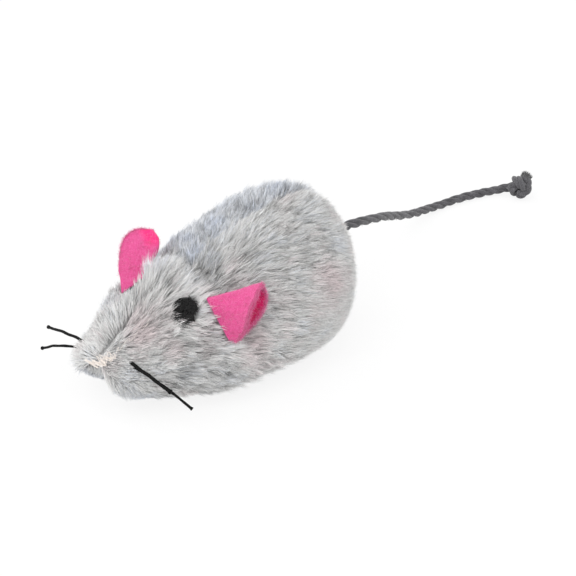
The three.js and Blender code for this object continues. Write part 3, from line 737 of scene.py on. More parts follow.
def ear_middle(ear, around, up):
    """A point midway through the felt, around it over the fold and up from the base."""
    base = unit(ear["direction"])
    rear = unit(np.array([0, 1, 0]) - base * base[1])
    out = np.cross(base, rear)
    height = rear * math.cos(ear["lean"]) + out * math.sin(ear["lean"])
    front = out * math.cos(ear["lean"]) - rear * math.sin(ear["lean"])
    turn = 2 * around - 1
    width = np.abs(turn)
    low = -EAR_BASE / 2 + EAR_BASE * width
    high = low + ear["fold_step"] + (ear["side_step"] - ear["fold_step"]) * width
    longer = 1 + ear["longer"] * rise(2 * width, 0, 1)
    most, where, half = ear["shorter"]
    shorter = 1 - most * bell(width - where, half) * rise(width, 0, 0.12)
    tall = smooth_value(ear["heights"], width) * np.where(turn > 0, longer, shorter)
    tall = np.where(up < 0, np.maximum(tall, ear["heights"][0]), tall)
    bulge = EAR_BULGE * np.sin(np.pi * width) * up
    fold = np.sqrt(1 - (1 - np.minimum(1, width / EAR_FOLD_SHARE)) ** 2)
    opened = EAR_PINCH + ear["mouth"] * np.maximum(up, 0) * np.sin(np.pi * np.minimum(1, width + 0.12))
    bow = ear["fold_bow"] * np.sin(np.pi * np.clip(up, 0, 1) ** 0.8) * (1 - width) ** 2
    narrow = ear["narrow"] * width**2 * (1 - rise(up, -0.1, 0.75))
    across = low + (high - low) * up + bulge - bow - narrow
    twist = ear["twist"] * (1 - 0.9 * width**3) * up * (across + EAR_BASE / 4)
    forward = np.where(turn > 0, -1, 1) * fold * opened + twist
    points = (
        np.array(ear["centre"])
        + across[..., None] * base
        + (tall * up + bulge / 2)[..., None] * height
        + forward[..., None] * front
    )
    shift = np.maximum(0, ear["nearer"][0] + ear["nearer"][1] * across / (EAR_BASE / 2))
    return points * np.array([ear["side"], 1, 1]) + shift[..., None] * TO_CAMERA


def ear_cloud(ear):
    around, up = np.meshgrid(np.linspace(0.02, 0.98, 44), np.linspace(ear["root"], 1, 16))
    return ear_middle(ear, around, up).reshape(-1, 3)


# Fur
PILE_INSET = 1.6
FUR_COUNT, MAX_STRANDS = 124000, 12000
CLUMPS = 8000
GUARD_SHARE = 0.16
PILE_LENGTH, SHORTEST_PILE, SHORTEST_KEPT = 5.0, 1.9, 1.1
START_TILT, END_TILT = np.radians(54), np.radians(96)
LENGTH_VARIES, STRAND_WIDTHS = (0.76, 1.12), (0.11, 0.21)
CLUMP_SPREADS = 0.20, 0.15, 0.12  # of turn, tilt and tone
PILE_TONE, TONE_VARIES, TINT_VARIES = 0.63, 0.13, 0.06
# What each part of the coat adds to the pile's length, to how upright it stands and to its tone
PART_LENGTHS = dict(crest=3.6, fringe=1.2, lobes=1.5, belly=-1.2, snout=-2.5, low=-1.8, notch=-1.4)
PART_UPRIGHT = dict(lobes=0.25, crest=0.75, fringe=0.50, bare=-0.30)
PART_TONES = dict(fringe=0.50, crest=0.30, lash=0.18, snout=0.08)
# Each spot is a place on the coat and how far it reaches round it
BARE_SPOT = (-12, -25, 24), 4.5
NOTCH_SPOT = (-2, -41, 8.5), 3.2
LEFT_LOBE_SPOT, RIGHT_LOBE_SPOT = ((8.5, -43, 9), 4), ((-7, -43.5, 11.7), 4)
# the second dark spot is painted shade in the parting at the neck fold on the crown
DARK_SPOTS = ((0.28, ((-0.5, -38.5, 19), 2.2)), (0.36, ((3, -14.5, 31), 5.5)))
PINK_SPOTS = ((0.48, ((24, 20, 26), 6)), (0.36, ((23, -8.5, 16), 5)), (0.30, ((6, -36, 21), 4)))
# Fur round the eyes and ears
EYE_REACH, EYE_HEIGHT, EYE_ROOM, EYE_ROOT_ROOM = 16, 5, 0.45, 0.3
EYE_UNDER, EYE_UNDER_FROM = np.array([0.15, -0.75, -0.55]), 1.2
EAR_REACH, EAR_ROOM = 24, 0.8
POINTS_AT_ONCE = 1500


def scatter(count, draw):
    """Places spread evenly over the skin, as shares along and angles round the body."""
    along = np.linspace(0.0, 0.984, 241)
    angle = np.linspace(-np.pi, np.pi, 321)
    a, g = np.meshgrid(along, angle, indexing="ij")
    grid = skin(a, g, np.full(a.shape, PILE_INSET))
    u, v = grid[1:, :-1] - grid[:-1, :-1], grid[:-1, 1:] - grid[:-1, :-1]
    area = np.linalg.norm(np.cross(u, v), axis=-1)
    total = np.cumsum(area.ravel())
    even = (np.arange(count) + draw.random(count)) / count
    cell = np.minimum(np.searchsorted(total, even * total[-1]), area.size - 1)
    i, j = np.unravel_index(cell, area.shape)
    return (
        along[i] + draw.random(count) * (along[1] - along[0]),
        angle[j] + draw.random(count) * (angle[1] - angle[0]),
    )


def panel_of(angle):
    """1 for the left side, -1 for the right side, 0 for the belly."""
    round_it = np.mod(angle + np.pi / 2, 2 * np.pi) - np.pi / 2
    left = (round_it > BELLY_SEAM) & (round_it <= np.pi / 2)
    right = (round_it > np.pi / 2) & (round_it < np.pi - BELLY_SEAM)
    return np.where(left, 1, np.where(right, -1, 0))


def nearest(points, seeds):
    """The index of the seed nearest to each point."""
    tree = KDTree(len(seeds))
    for i, s in enumerate(seeds):
        tree.insert(s, i)
    tree.balance()
    return np.array([tree.find(p)[1] for p in points])


def rows_of(*parts):
    return np.stack(np.broadcast_arrays(*parts), -1).astype(float)


def blend_rows(one, other, share):
    return one + (other - one) * share[:, None]


def fur_zones(points, angle, panel):
    """How far each strand belongs to each part of the coat, mostly from 0 to 1."""
    x, y, z = points.T
    dart = neck_share(angle)
    behind = y - NECK_Y - NECK_SWEEP * (1 - dart)
    snout = 1 - rise(y, -41, -31)
    calm = np.clip(rise(y, 0, 14) * (1 - rise(z, 22, 34)) + rise(y, 22, 34) * 0.6, 0, 1)
    calm = np.maximum(calm, 0.7 * snout)
    return SimpleNamespace(
        dart=dart,
        behind=behind,
        snout=snout,
        calm=calm,
        rough=1 - 0.85 * calm,
        far_strip=(panel < 0) * rise(z, 18, 28) * rise(behind, -1, 5),
        crest=bell(x + 3.8, 3.8) * bell(y + 17.8, 4.8) * rise(z, 17, 25),
        bare=spot(points, *BARE_SPOT),
        fringe=bell(behind + 4.6, 3.0) * dart * (panel > 0),
        belly=panel == 0,
        low=(1 - rise(z, 3, 11)) * (1 - rise(y, -26, -16)) * rise(y, -42, -37),
        notch=spot(points, *NOTCH_SPOT),
        lobes=0.4 * spot(points, *LEFT_LOBE_SPOT) + spot(points, *RIGHT_LOBE_SPOT),
        rear=rise(y, 7, 20),
        lash=spot(points, eye_frame(1)[0], 5.5),
    )


def add_parts(total, zone, amounts):
    """Adds what each part of the coat adds, as far as a strand belongs to it."""
    for part, amount in amounts.items():
        total = total + amount * getattr(zone, part)
    return total


def nap(points, panel, behind):
    """The way the pile lies at a point, before it is laid on the surface."""
    x, y, z = points.T
    far = (panel < 0)[:, None]
    side = np.where(panel == 0, np.sign(x), panel)
    down = -0.30 * rise(z, 4, 12)
    spine = (1 - rise(np.abs(x), 2, 15)) * rise(z, 17, 27)
    head = 1 - rise(behind, -2.5, 1.5)
    chin = (1 - rise(z, 8, 14)) * (1 - rise(y, -41, -36))
    nose = (1 - rise(y, -41, -34)) * rise(z, 8, 14)
    back = np.where(far, rows_of(-0.42, 0.80, 0.15), rows_of(-0.10, 1, 0.05))
    crown = np.where(far, rows_of(-0.15, 1, 0.2), rows_of(0.10, 1, 0.05))
    cheek = np.where(far, rows_of(-0.80, 0.30, 0.1), rows_of(0.34, 1, down))
    body = blend_rows(rows_of(0.10 * side, 1, down), back, spine)
    face = blend_rows(cheek, crown, spine)
    lead = blend_rows(body, face, head)
    lead = blend_rows(lead, np.where(far, rows_of(-0.7, 0.1, -0.1), rows_of(0.6, 0.7, -0.3)), nose)
    return blend_rows(lead, rows_of(0.5 * side, 0.5, -0.8), chin)


def cut_at(lines, blocked):
    """For each strand, the share of its length up to the first point that blocked() says is taken."""
    share = np.ones(len(lines))
    steps = lines.shape[1] - 1
    for k in range(steps, 0, -1):
        share = np.where(blocked(lines[:, k]), (k - 0.6) / steps, share)
    return share


def in_eye(points, side, ease):
    centre, normal, first, second = eye_frame(side)
    q = points * np.array([side, 1, 1]) - centre
    u, v, h = q @ first, q @ second, q @ normal
    inside = np.zeros(len(points), bool)
    for step, radius in EYE_LOBES:
        inside |= np.hypot(u - step * EYE_AXIS[0], v - step * EYE_AXIS[1]) < radius - ease
    return inside & (np.abs(h) < EYE_HEIGHT)


def near_cloud(points, cloud):
    hit = np.zeros(len(points), bool)
    for some in np.array_split(np.arange(len(points)), max(1, len(points) // POINTS_AT_ONCE)):
        gap = np.linalg.norm(points[some, None] - cloud[None], axis=-1).min(1)
        hit[some] = gap < EAR_ROOM
    return hit


def trim_round_eye(side, points, roots, lines, length, keep, draw):
    """Shortens the strands that reach into an eye, but for loose ones, most of them under it.

    Those on the camera's side of the right eye all stay long, as the crest hides it there."""
    centre, mirror = eye_frame(side)[0], np.array([side, 1, 1])
    here = np.nonzero(np.linalg.norm(points * mirror - centre, axis=1) < EYE_REACH)[0]
    keep[here[in_eye(roots[here], side, EYE_ROOT_ROOM)]] = False
    share = cut_at(lines[here], lambda p: in_eye(p, side, EYE_ROOM))
    over = np.where((points[here] * mirror - centre) @ EYE_UNDER > EYE_UNDER_FROM, 0.5, 0.08)
    if side < 0:
        over = np.where((points[here] - centre * mirror) @ TO_CAMERA > 0.5, 1.0, over)
    loose = draw.random(len(here)) < over
    length[here] *= np.where(loose, np.minimum(1, share + 0.3 + 0.7 * (over == 1)), share)


def trim_round_ear(ear, zone, points, roots, lines, length, keep, draw):
    """Shortens the strands that reach an ear, but for the crest and part of the fringe before it."""
    cloud = ear_cloud(ear)
    here = np.nonzero(np.linalg.norm(points - cloud.mean(0), axis=1) < EAR_REACH)[0]
    share = cut_at(lines[here], lambda p: near_cloud(p, cloud))
    on_crest = zone.crest[here] > 0.35
    loose = draw.random(len(here)) < 0.15 + 0.55 * zone.fringe[here] + 0.85 * on_crest
    length[here] *= np.where(loose, np.minimum(1, share + 0.2 + 0.8 * on_crest), share)
    keep[here[near_cloud(roots[here], cloud)]] = False


def fur_tone(points, flow, lateral, zone, guard, clump_tone, draw):
    z = points[:, 2]
    across = (points * lateral).sum(-1)
    along_it = (points * flow).sum(-1)
    streak = noise(np.stack([across / 0.7, along_it / 2.8, z / 9], -1), 1, 12)
    dark = np.maximum(0, noise(points, 2.4, 15) - 0.05) * zone.rough
    tone = PILE_TONE + 0.05 * noise(points, 10, 14) - 0.42 * dark + 0.16 * streak * zone.rough
    tone = add_parts(tone + clump_tone + 0.28 * guard, zone, PART_TONES)
    # painted shade: the far side's strip along the back seam darkens in patches
    tone = tone - 0.10 * zone.far_strip * rise(noise(points, 5, 17), -0.2, 0.4)
    tone = tone + draw.normal(0, TONE_VARIES, len(points)) * (1 - 0.3 * zone.calm)
    # painted shade in the neck fold, just behind the head's fringe
    tone = tone - 0.16 * bell(zone.behind - 1.0, 2.0) * zone.dart
    for amount, where in DARK_SPOTS:
        tone = tone - amount * spot(points, *where)
    return tone


def fur_tint(points, panel, zone, draw):
    """From blue at 0 over grey to pink at 1."""
    y, z = points[:, 1], points[:, 2]
    # the far strip's lean to blue is painted shade
    tint = 0.5 - 0.26 * zone.far_strip - 0.16 * zone.crest - 0.20 * (1 - rise(z, 6, 14)) * zone.snout
    for amount, where in PINK_SPOTS:
        tint = tint + amount * spot(points, *where)
    return (
        tint
        + 0.20 * bell(y + 30, 7) * bell(z - 20, 6) * (panel > 0)
        + 0.16 * noise(points, 4, 18)
        + draw.normal(0, TINT_VARIES, len(points))
    )


def make_fur():
    draw = np.random.default_rng(8)
    along, angle = scatter(FUR_COUNT, draw)
    panel = panel_of(angle)
    points, normals = outside(along, angle), outward(along, angle)
    zone = fur_zones(points, angle, panel)
    # clumps
    seeds = outside(*scatter(CLUMPS, draw))
    clump = nearest(points, seeds)
    clump_turn, clump_tilt, clump_tone = [
        draw.normal(0, spread, len(seeds))[clump] * zone.rough for spread in CLUMP_SPREADS
    ]
    guard = draw.random(len(points)) < GUARD_SHARE
    # directions
    lead = nap(points, panel, zone.behind)
    wave = noise(points, 8, 1) * 0.24 + noise(points, 2.8, 2) * 0.26 * zone.rough
    wave = wave + noise(points, 3.6, 5) * 0.45 * zone.far_strip
    flow = unit(square_to(lead, normals))
    lateral = np.cross(normals, flow)
    turn = wave + clump_turn + draw.normal(0, 0.10, len(points))
    flow = towards(flow, lateral, turn)
    lateral = np.cross(normals, flow)
    # lengths and lie
    length = add_parts(PILE_LENGTH + zone.far_strip * (1.5 * zone.rear - 0.9), zone, PART_LENGTHS)
    length = np.maximum(length, SHORTEST_PILE) * (1 + 0.10 * noise(points, 5, 6))
    length = length * draw.uniform(*LENGTH_VARIES, len(points)) * (1 + 0.12 * guard)
    length = length * (1 - 0.25 * bell(zone.behind - 0.5, 2.2) * zone.dart) * (1 - 0.55 * zone.bare)
    upright = add_parts((0.02 + 0.16 * zone.rear) * zone.far_strip, zone, PART_UPRIGHT)
    start = START_TILT - upright + clump_tilt + draw.normal(0, 0.09, len(points))
    start = start + 0.10 * noise(points, 3, 9) * zone.rough
    end = END_TILT - 0.8 * upright + clump_tilt + draw.normal(0, 0.10, len(points)) - 0.10 * guard
    inset = PILE_INSET + 0.4 * zone.crest + (0.9 - 0.7 * zone.rear) * zone.far_strip + 0.5 * zone.low
    roots = skin(along, angle, inset)
    lines = grow(roots, normals, flow, length, start, end)
    # the tips of a clump draw together
    pull = square_to(seeds[clump] - points, normals)
    shares = (np.linspace(0, 1, lines.shape[1]) ** 1.5)[None, :, None]
    drawn = pull[:, None] * (shares * (0.42 - 0.25 * zone.calm)[:, None, None])
    lines += drawn
    # room for the eyes and the ears
    keep = np.ones(len(points), bool)
    for side in (1, -1):
        trim_round_eye(side, points, roots, lines, length, keep, draw)
    for ear in EARS.values():
        trim_round_ear(ear, zone, points, roots, lines, length, keep, draw)
    keep &= length > SHORTEST_KEPT
    lines = grow(roots, normals, flow, length, start, end) + drawn
    tone = fur_tone(points, flow, lateral, zone, guard, clump_tone, draw)
    tint = fur_tint(points, panel, zone, draw)
    width = draw.uniform(*STRAND_WIDTHS, len(points)) * (1 - 0.2 * guard)
    for name, value in (("left", 1), ("right", -1), ("belly", 0)):
        rows = np.nonzero(keep & (panel == value))[0]
        rows = rows[np.argsort(points[rows, 1], kind="stable")]
        for index, some in enumerate(np.array_split(rows, math.ceil(len(rows) / MAX_STRANDS))):
            parts = lines[some], lateral[some], width[some], tone[some], tint[some]
            dress(strand_object(f"{name}_fur_{index + 1}", *parts), FUR, "mouse", "plush")


make_fur()

# The plush's backing
PANEL_SPANS = dict(
    left_side=(BELLY_SEAM, np.pi / 2),
    right_side=(np.pi / 2, np.pi - BELLY_SEAM),
    belly=(np.pi - BELLY_SEAM, 2 * np.pi + BELLY_SEAM),
)
PANEL_ROWS, PANEL_COLUMNS = 121, 49
PANEL_EDGE = 0.012
BACKING_INSETS = (PILE_INSET + 0.25, PILE_INSET + 1.2)
SEAM_TURN, SEAM_TURN_WIDTH, SEAM_RADIUS = 0.7, 1.5, 22


def make_panels():
    """A closed shell to each panel, with its edges turned in at the seams."""
    for name, (low, high) in PANEL_SPANS.items():
        along = np.linspace(0.006, 0.984, PANEL_ROWS)[:, None]
        share = np.linspace(0, 1, PANEL_COLUMNS)[None, :]
        angle = low + PANEL_EDGE + (high - low - 2 * PANEL_EDGE) * share + 0 * along
        from_seam = np.minimum(share, 1 - share) * (high - low) * SEAM_RADIUS
        turned = SEAM_TURN * np.exp(-from_seam / SEAM_TURN_WIDTH) + 0 * along
        layers = []
        for inset in BACKING_INSETS:
            grid = skin(along + 0 * angle, angle, inset + turned)
            grid[..., 2] = np.maximum(grid[..., 2], inset - PILE_INSET)
            layers.append(grid)
        panel = closed_sheet(f"{name}_plush", layers, PANEL_ROWS, PANEL_COLUMNS)
        dress(panel, CLOTH, "mouse", "plush", f"{name}_panel")


make_panels()

# The ears' felt
EAR_COLUMNS, EAR_ROWS = 97, 33
EAR_STEP, EAR_MARGIN = 0.004, 0.005
FELT_FIBRES, FELT_FIBRE_WIDTH = 6000, 0.08


def make_ear(name, ear):
    columns, rows, d = EAR_COLUMNS, EAR_ROWS, EAR_STEP
    around, up = np.linspace(0, 1, columns), np.linspace(ear["root"], 1, rows)
    last = 1 - EAR_MARGIN
    a, u = np.meshgrid(np.clip(around, EAR_MARGIN, last), np.clip(up, ear["root"], last))
    middle = ear_middle(ear, *np.meshgrid(around, up))
    along = ear_middle(ear, a + d, u) - ear_middle(ear, a - d, u)
    rising = ear_middle(ear, a, u + d) - ear_middle(ear, a, u - d)
    normal = unit(np.cross(along, rising)) * ear["side"]
    ripple = 0.10 * noise(middle, 1.8, 21) + 0.22 * noise(middle, 5, 22)
    layers = []
    for face in (1, -1):
        thick = FELT_THICKNESS / 2 * (1 + 0.16 * noise(middle + face * 40, 0.8, 23))
        layers.append(middle + normal * (face * thick + ripple)[..., None])
    leaf = closed_sheet(f"{name}_ear_felt", layers, rows, columns)
    # painted shade: deeper colour inside the fold, and on the right ear's curl along it
    width = np.abs(2 * around - 1)[None, :] + 0 * up[:, None]
    curl_shade = (1 - rise(width, 0.08, 0.26)) * rise(up, 0.2, 0.6)[:, None] * (ear["side"] < 0)
    inner = rise(up, 0.1, 0.5)[:, None] * rise(width, 0.02, 0.2)
    values_on(leaf, deep=np.stack([np.maximum(curl_shade, inner), curl_shade]))
    dress(leaf, FELT, f"{name}_ear", "felt", f"{name}_ear")
    make_felt_fibres(name, ear["side"], middle, normal)


def make_felt_fibres(name, side, middle, normal):
    """Loose fibres of the felt, half of them on its upper rim."""
    rows, columns = EAR_ROWS, EAR_COLUMNS
    draw = np.random.default_rng(40 + side)
    count = FELT_FIBRES
    i, j = draw.integers(0, rows, count), draw.integers(0, columns, count)
    on_rim = count // 2
    j[:on_rim] = draw.integers(0, columns, on_rim)
    i[:on_rim] = rows - 1
    normals = normal[i, j] * draw.choice([-1, 1], count)[:, None]
    roots = middle[i, j] + normals * FELT_THICKNESS * 0.42
    up_normal = unit(middle[rows - 1] - middle[rows - 2])[j]
    normals[:on_rim] = unit(up_normal[:on_rim] + 0.8 * draw.normal(0, 1, (on_rim, 3)))
    flow = unit(np.cross(normals, draw.normal(0, 1, (count, 3))))
    lengths, tilts = draw.uniform(0.5, 1.4, count), ((30, 75), (70, 120))
    fuzz = fibres(f"{name}_ear_fibres", roots, normals, flow, draw, lengths, tilts, FELT_FIBRE_WIDTH)
    dress(fuzz, FELT_FIBRE, f"{name}_ear", "felt")


for ear_name, ear in EARS.items():
    make_ear(ear_name, ear)

# The eyes' thread
EYE_RINGS, EYE_SPOKES = 18, 64
EYE_RISE, EYE_SINK = 1.15, 0.8
EYE_FIBRES, EYE_FIBRE_LIFT, EYE_FIBRE_WIDTH = 1500, 0.85, 0.2


def eye_height(u, v):
    """Over 0 inside the patch, whose outline is ragged, and 1 in the middle of a lobe."""
    best = np.full(np.shape(u), -1.0)
    ragged = 1 + 0.10 * noise(np.stack([u, v, 0 * u], -1), 1.3, 34)
    for step, radius in EYE_LOBES:
        from_lobe = np.hypot(u - step * EYE_AXIS[0], v - step * EYE_AXIS[1])
        best = np.maximum(best, 1 - (from_lobe * ragged / radius) ** 2)
    return best


def make_eye(name, side):
    centre, normal, first, second = eye_frame(side)
    mirror = np.array([side, 1, 1])
    turn = 2 * np.pi * np.arange(EYE_SPOKES) / EYE_SPOKES
    radii = np.linspace(0, 6, 400)
    reach = [radii[eye_height(radii * math.cos(t), radii * math.sin(t)) > 0].max() for t in turn]
    share = np.sin(np.linspace(0, np.pi / 2, EYE_RINGS))[:, None]
    round_off = np.sqrt(np.maximum(0, 1 - share**2))
    u, v = share * reach * np.cos(turn), share * reach * np.sin(turn)
    dome = EYE_RISE * round_off * (0.8 + 0.2 * np.maximum(0, eye_height(u, v)))
    dome = dome + 0.10 * noise(np.stack([u, v, 0 * u], -1), 0.8, 33) * (1 - share)
    flat = centre + u[..., None] * first + v[..., None] * second
    upper = flat + dome[..., None] * normal
    lower = flat - EYE_SINK * round_off[..., None] * normal
    rows = np.concatenate([upper[1:], lower[1:-1][::-1]])
    points = np.concatenate([rows.reshape(-1, 3), upper[:1, 0], lower[:1, 0]])
    faces = quads(len(rows), EYE_SPOKES, wrap=True)
    caps = fans(len(rows), EYE_SPOKES, len(points) - 2, len(points) - 1)
    pad = tubes(f"{name}_eye_patch", [(points * mirror, faces, caps)])
    flip_if_inside_out(pad)
    dress(pad, EYE, "mouse", "eye_thread", f"{name}_eye")
    draw = np.random.default_rng(60)
    u, v = draw.uniform(-4.6, 4.6, (2, EYE_FIBRES * 3))
    kept = np.nonzero(eye_height(u, v) > -0.03)[0][:EYE_FIBRES]
    u, v, count = u[kept], v[kept], len(kept)
    lift = EYE_FIBRE_LIFT * np.sqrt(np.maximum(0, eye_height(u, v)))
    roots = centre + u[:, None] * first + v[:, None] * second + lift[:, None] * normal
    radial = unit(u[:, None] * first + v[:, None] * second + 1e-6)
    out = unit(normal + radial * (0.35 * np.hypot(u, v) / 3)[:, None])
    flow = unit(0.6 * first - 0.8 * second + draw.normal(0, 0.45, (count, 3)))
    flow = unit(square_to(flow, out))
    lengths, tilts = draw.uniform(1.0, 2.1, count), ((45, 80), (90, 125))
    settings = lengths, tilts, EYE_FIBRE_WIDTH, 4, mirror
    ends = fibres(f"{name}_eye_fibres", roots, out, flow, draw, *settings)
    if side < 0:
        flip_if_inside_out(ends)
    dress(ends, EYE_FIBRE, "mouse", "eye_thread")


make_eye("left", 1)
make_eye("right", -1)

# Whiskers: where each leaves the snout, and its tip. The lower left one lies close under the upper
WHISKER_SUNK = 1.1
WHISKER_POINTS, WHISKER_SIDES = 70, 12
WHISKER_KINK, WHISKER_UNDER, WHISKER_UNDER_SHARE = 0.16, 1.1, 0.42
KNOB, KNOB_LENGTH = 0.30, 0.55
WHISKERS = dict(
    left_upper=dict(along=0.183, angle=0.945, side=1, tip=(24, -36.4, 14.4), radius=0.50),
    left_lower=dict(
        along=0.176, angle=0.745, side=1, tip=(27.5, -32.7, 9.9), radius=0.36, beneath="left_upper"
    ),
    right_upper=dict(along=0.155, angle=0.965, side=-1, tip=(-27.5, -37, 10.5), radius=0.40),
    right_lower=dict(along=0.14, angle=0.745, side=-1, tip=(-24.4, -41.6, 7.2), radius=0.36),
)


def whisker_root(row):
    """The whisker's root, a little under the pile, and the pile's normal there."""
    along, angle = np.array([row["along"]]), np.array([row["angle"]])
    mirror = np.array([row["side"], 1, 1])
    normal = outward(along, angle)[0] * mirror
    return outside(along, angle)[0] * mirror - normal * WHISKER_SUNK, normal


def make_whisker(name, row):
    root, normal = whisker_root(row)
    tip = np.array(row["tip"], float)
    middle = root + (tip - root) * 0.5 + normal * np.linalg.norm(tip - root) * 0.05
    if "beneath" in row:
        over = WHISKERS[row["beneath"]]
        start = whisker_root(over)[0]
        middle = start + (np.array(over["tip"]) - start) * WHISKER_UNDER_SHARE
        middle = middle - TO_CAMERA * WHISKER_UNDER
    onward = unit(tip - root)
    inside = root - onward * 1.3 - normal * 0.5
    line = curve([inside, root, middle, tip, tip + onward * 0.3], WHISKER_POINTS)
    kink = np.stack([noise(line + k * 19, 3.2, 50 + row["side"]) for k in range(3)], -1)
    line = line + kink * WHISKER_KINK * rise(np.arange(len(line)), 4, 20)[:, None]
    share = np.linspace(0, 1, len(line))
    radius = row["radius"] * (1 + 0.10 * noise(line, 1.1, 52))
    radius = radius * (0.55 + 0.45 * rise(share, 0, 0.10))
    knob = KNOB * bell((1 - share) * line_length(line) - KNOB_LENGTH, KNOB_LENGTH)
    closing = np.maximum(np.sqrt(np.clip((1 - share) * 22, 0, 1)), 0.15)
    radius = (radius + knob) * closing
    shaft = tubes(f"{name}_whisker_thread_end", [tube_arrays(line, radius, WHISKER_SIDES)])
    dress(shaft, WAXED, f"{name}_whisker", "whisker_thread", f"{name}_whisker")


for whisker_name, row in WHISKERS.items():
    make_whisker(whisker_name, row)

# Nose stitch: for each thread, how far it goes up the seam, how far it swings, and its radius
NOSE_THREADS = [
    (0.14, 3.0, 0.08), (0.15, 2.4, 0.08), (0.13, 3.2, 0.08), (0.17, 2.0, 0.08), (0.30, 1.0, 0.05),
]
NOSE_SWINGS, NOSE_ANGLE, NOSE_THREAD_POINTS = 12, np.pi / 2 - 0.42, 200


def make_nose_stitch():
    """Fine cream thread, tangled to and fro over the seam at the end of the snout."""
    draw = np.random.default_rng(70)
    count = NOSE_SWINGS
    parts = []
    for last, swings, radius in NOSE_THREADS:
        first = draw.uniform(0.03, 0.06)
        share = np.linspace(first, last, count) + draw.normal(0, 0.012, count)
        swing = np.where(np.arange(count) % 2 == 0, 1, -1) * draw.uniform(0.3, 1, count) * swings
        along, angle = np.maximum(share, 0.02), np.full(count, NOSE_ANGLE)
        where = outside(along, angle) + outward(along, angle) * draw.uniform(0.6, 1.5, count)[:, None]
        where[:, 0] += swing + draw.normal(0, 0.3)
        parts.append(tube_arrays(curve(where, NOSE_THREAD_POINTS), radius, 6))
    stitch = tubes("nose_stitching", parts)
    dress(stitch, CREAM, "mouse", "nose_thread", "nose_stitch")


make_nose_stitch()

# Pieces inside the plush, with their loose surface, kept under the pile's tips
STUFFING_DEPTH, THREAD_DEPTH = 3.4, 0.6
SEAM_THREADS = [
    "left_dart_stitch", "right_dart_stitch", "back_seam_thread",
    "left_belly_seam_thread", "right_belly_seam_thread",
]


def tuck(points, depth):
    """Moves the points that lie nearer to the pile's tips than depth down to that depth."""
    a, g = np.meshgrid(np.linspace(0.01, 0.985, 260), np.linspace(-np.pi, np.pi, 420), indexing="ij")
    shell, normals = outside(a, g).reshape(-1, 3), outward(a, g).reshape(-1, 3)
    close = nearest(points, shell)
    over = ((points - shell[close]) * normals[close]).sum(-1) + depth
    return points - normals[close] * np.maximum(0, over)[:, None]


def loosen(node, name, material, slot, roughen, size, depth=None):
    """A copy of a hidden soft solid with a rough surface, at least depth under the pile's tips."""
    thing = put(name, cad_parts[node].data.copy())
    points, normals = np.zeros((2, len(thing.data.vertices) * 3))
    thing.data.vertices.foreach_get("co", points)
    thing.data.vertices.foreach_get("normal", normals)
    points = points.reshape(-1, 3) / MM
    points = points - normals.reshape(-1, 3) * (roughen * (1 + noise(points, size, 80)) / 2)[:, None]
    if depth is not None:
        points = tuck(points, depth)
    thing.data.vertices.foreach_set("co", (points * MM).ravel())
    thing.data.shade_smooth()
    dress(thing, material, "mouse", slot, node)
    return thing


fill = loosen("stuffing", "stuffing_fibre", WADDING, "wadding", 0.5, 2.4, STUFFING_DEPTH)
pouch = loosen("catnip_sachet", "catnip_leaf", LEAF, "catnip", 0.4, 1.5)
loosen("tail_anchor", "tail_inner_knot", CORD, "cord", 0.12, 0.8)
for node in SEAM_THREADS:
    loosen(node, node + "_spun", GREY_THREAD, "sewing_thread", 0.05, 0.6, THREAD_DEPTH)
for node in ("upper_whisker_thread", "lower_whisker_thread"):
    loosen(node, node + "_waxed", WAXED, "whisker_thread", 0.05, 0.6, THREAD_DEPTH)

# Floor, light and background
FLOOR_HALF, FLOOR_GREY, FLOOR_WHITE_SHARE = 3, 0.82, 0.86
WORLD_LIGHT = 1.12
LIGHT_AIM = Vector((0, 0.01, 0.02))
LIGHTS = dict(  # place, power and size
    key=((0.15, -0.75, 0.85), 4.4, 0.7),
    side=((0.9, 0.25, 0.55), 1.2, 0.6),
    far=((-0.8, -0.25, 0.65), 2.2, 0.7),
)
WHITE = (1, 1, 1, 1)


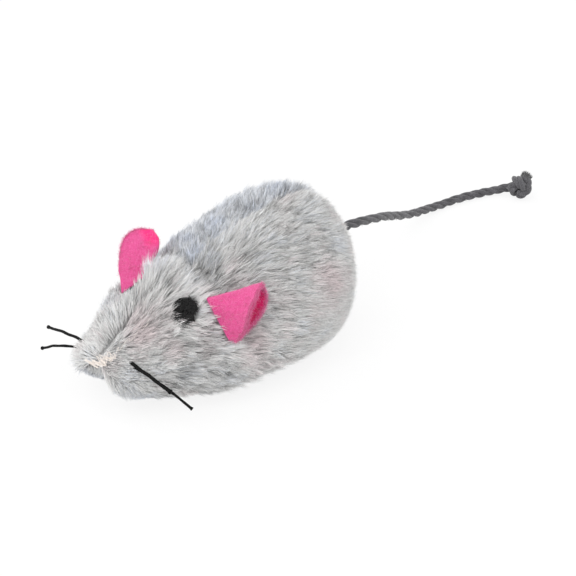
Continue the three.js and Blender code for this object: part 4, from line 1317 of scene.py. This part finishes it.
def share_for_camera(tree, share):
    """The share for rays from the camera, in gloss and through glass, and 0 for all others."""
    rays = tree.nodes.new("ShaderNodeLightPath").outputs

    def maths(operation, *given):
        made = tree.nodes.new("ShaderNodeMath")
        made.operation = operation
        for socket, value in zip(made.inputs, given):
            if isinstance(value, bpy.types.NodeSocket):
                tree.links.new(value, socket)
            else:
                socket.default_value = value
        return made.outputs[0]

    mirrored = maths("MAXIMUM", rays["Is Glossy Ray"], rays["Is Transmission Ray"])
    return maths("MULTIPLY", maths("MAXIMUM", rays["Is Camera Ray"], mirrored), share)


def make_stage():
    mesh = bpy.data.meshes.new("floor")
    corners = [(x * FLOOR_HALF, y * FLOOR_HALF, 0) for x, y in ((-1, -1), (1, -1), (1, 1), (-1, 1))]
    mesh.from_pydata(corners, [], [(0, 1, 2, 3)])
    floor = put("floor", mesh)
    shader = Shader("floor", 1, specular=0)
    shader.surface.inputs["Base Color"].default_value = (FLOOR_GREY, FLOOR_GREY, FLOOR_GREY, 1)
    glow, mixed = shader.node("Emission", Color=WHITE), shader.node("MixShader")
    shader.link(share_for_camera(shader.material.node_tree, FLOOR_WHITE_SHARE), mixed.inputs[0])
    shader.link(shader.surface.outputs[0], mixed.inputs[1])
    shader.link(glow.outputs[0], mixed.inputs[2])
    shader.link(mixed.outputs[0], shader.nodes["Material Output"].inputs["Surface"])
    mesh.materials.append(shader.material)


def make_light(name, place, energy, size):
    data = bpy.data.lights.new(name, "AREA")
    data.energy, data.size = energy, size
    light = put(name, data)
    light.location = Vector(place)
    light.rotation_mode = "QUATERNION"
    light.rotation_quaternion = (LIGHT_AIM - Vector(place)).to_track_quat("-Z", "Y")


def make_world():
    world = bpy.data.worlds.new("studio")
    scene.world = world
    world.use_nodes = True
    tree = world.node_tree
    background = tree.nodes["Background"]
    background.inputs["Color"].default_value = WHITE
    strength = tree.nodes.new("ShaderNodeMapRange")
    strength.inputs["To Min"].default_value = WORLD_LIGHT
    strength.inputs["To Max"].default_value = 1
    tree.links.new(share_for_camera(tree, 1), strength.inputs["Value"])
    tree.links.new(strength.outputs[0], background.inputs["Strength"])


make_stage()
make_world()
for light_name, (place, energy, size) in LIGHTS.items():
    make_light(light_name, place, energy, size)
scene.view_settings.view_transform = "Standard"
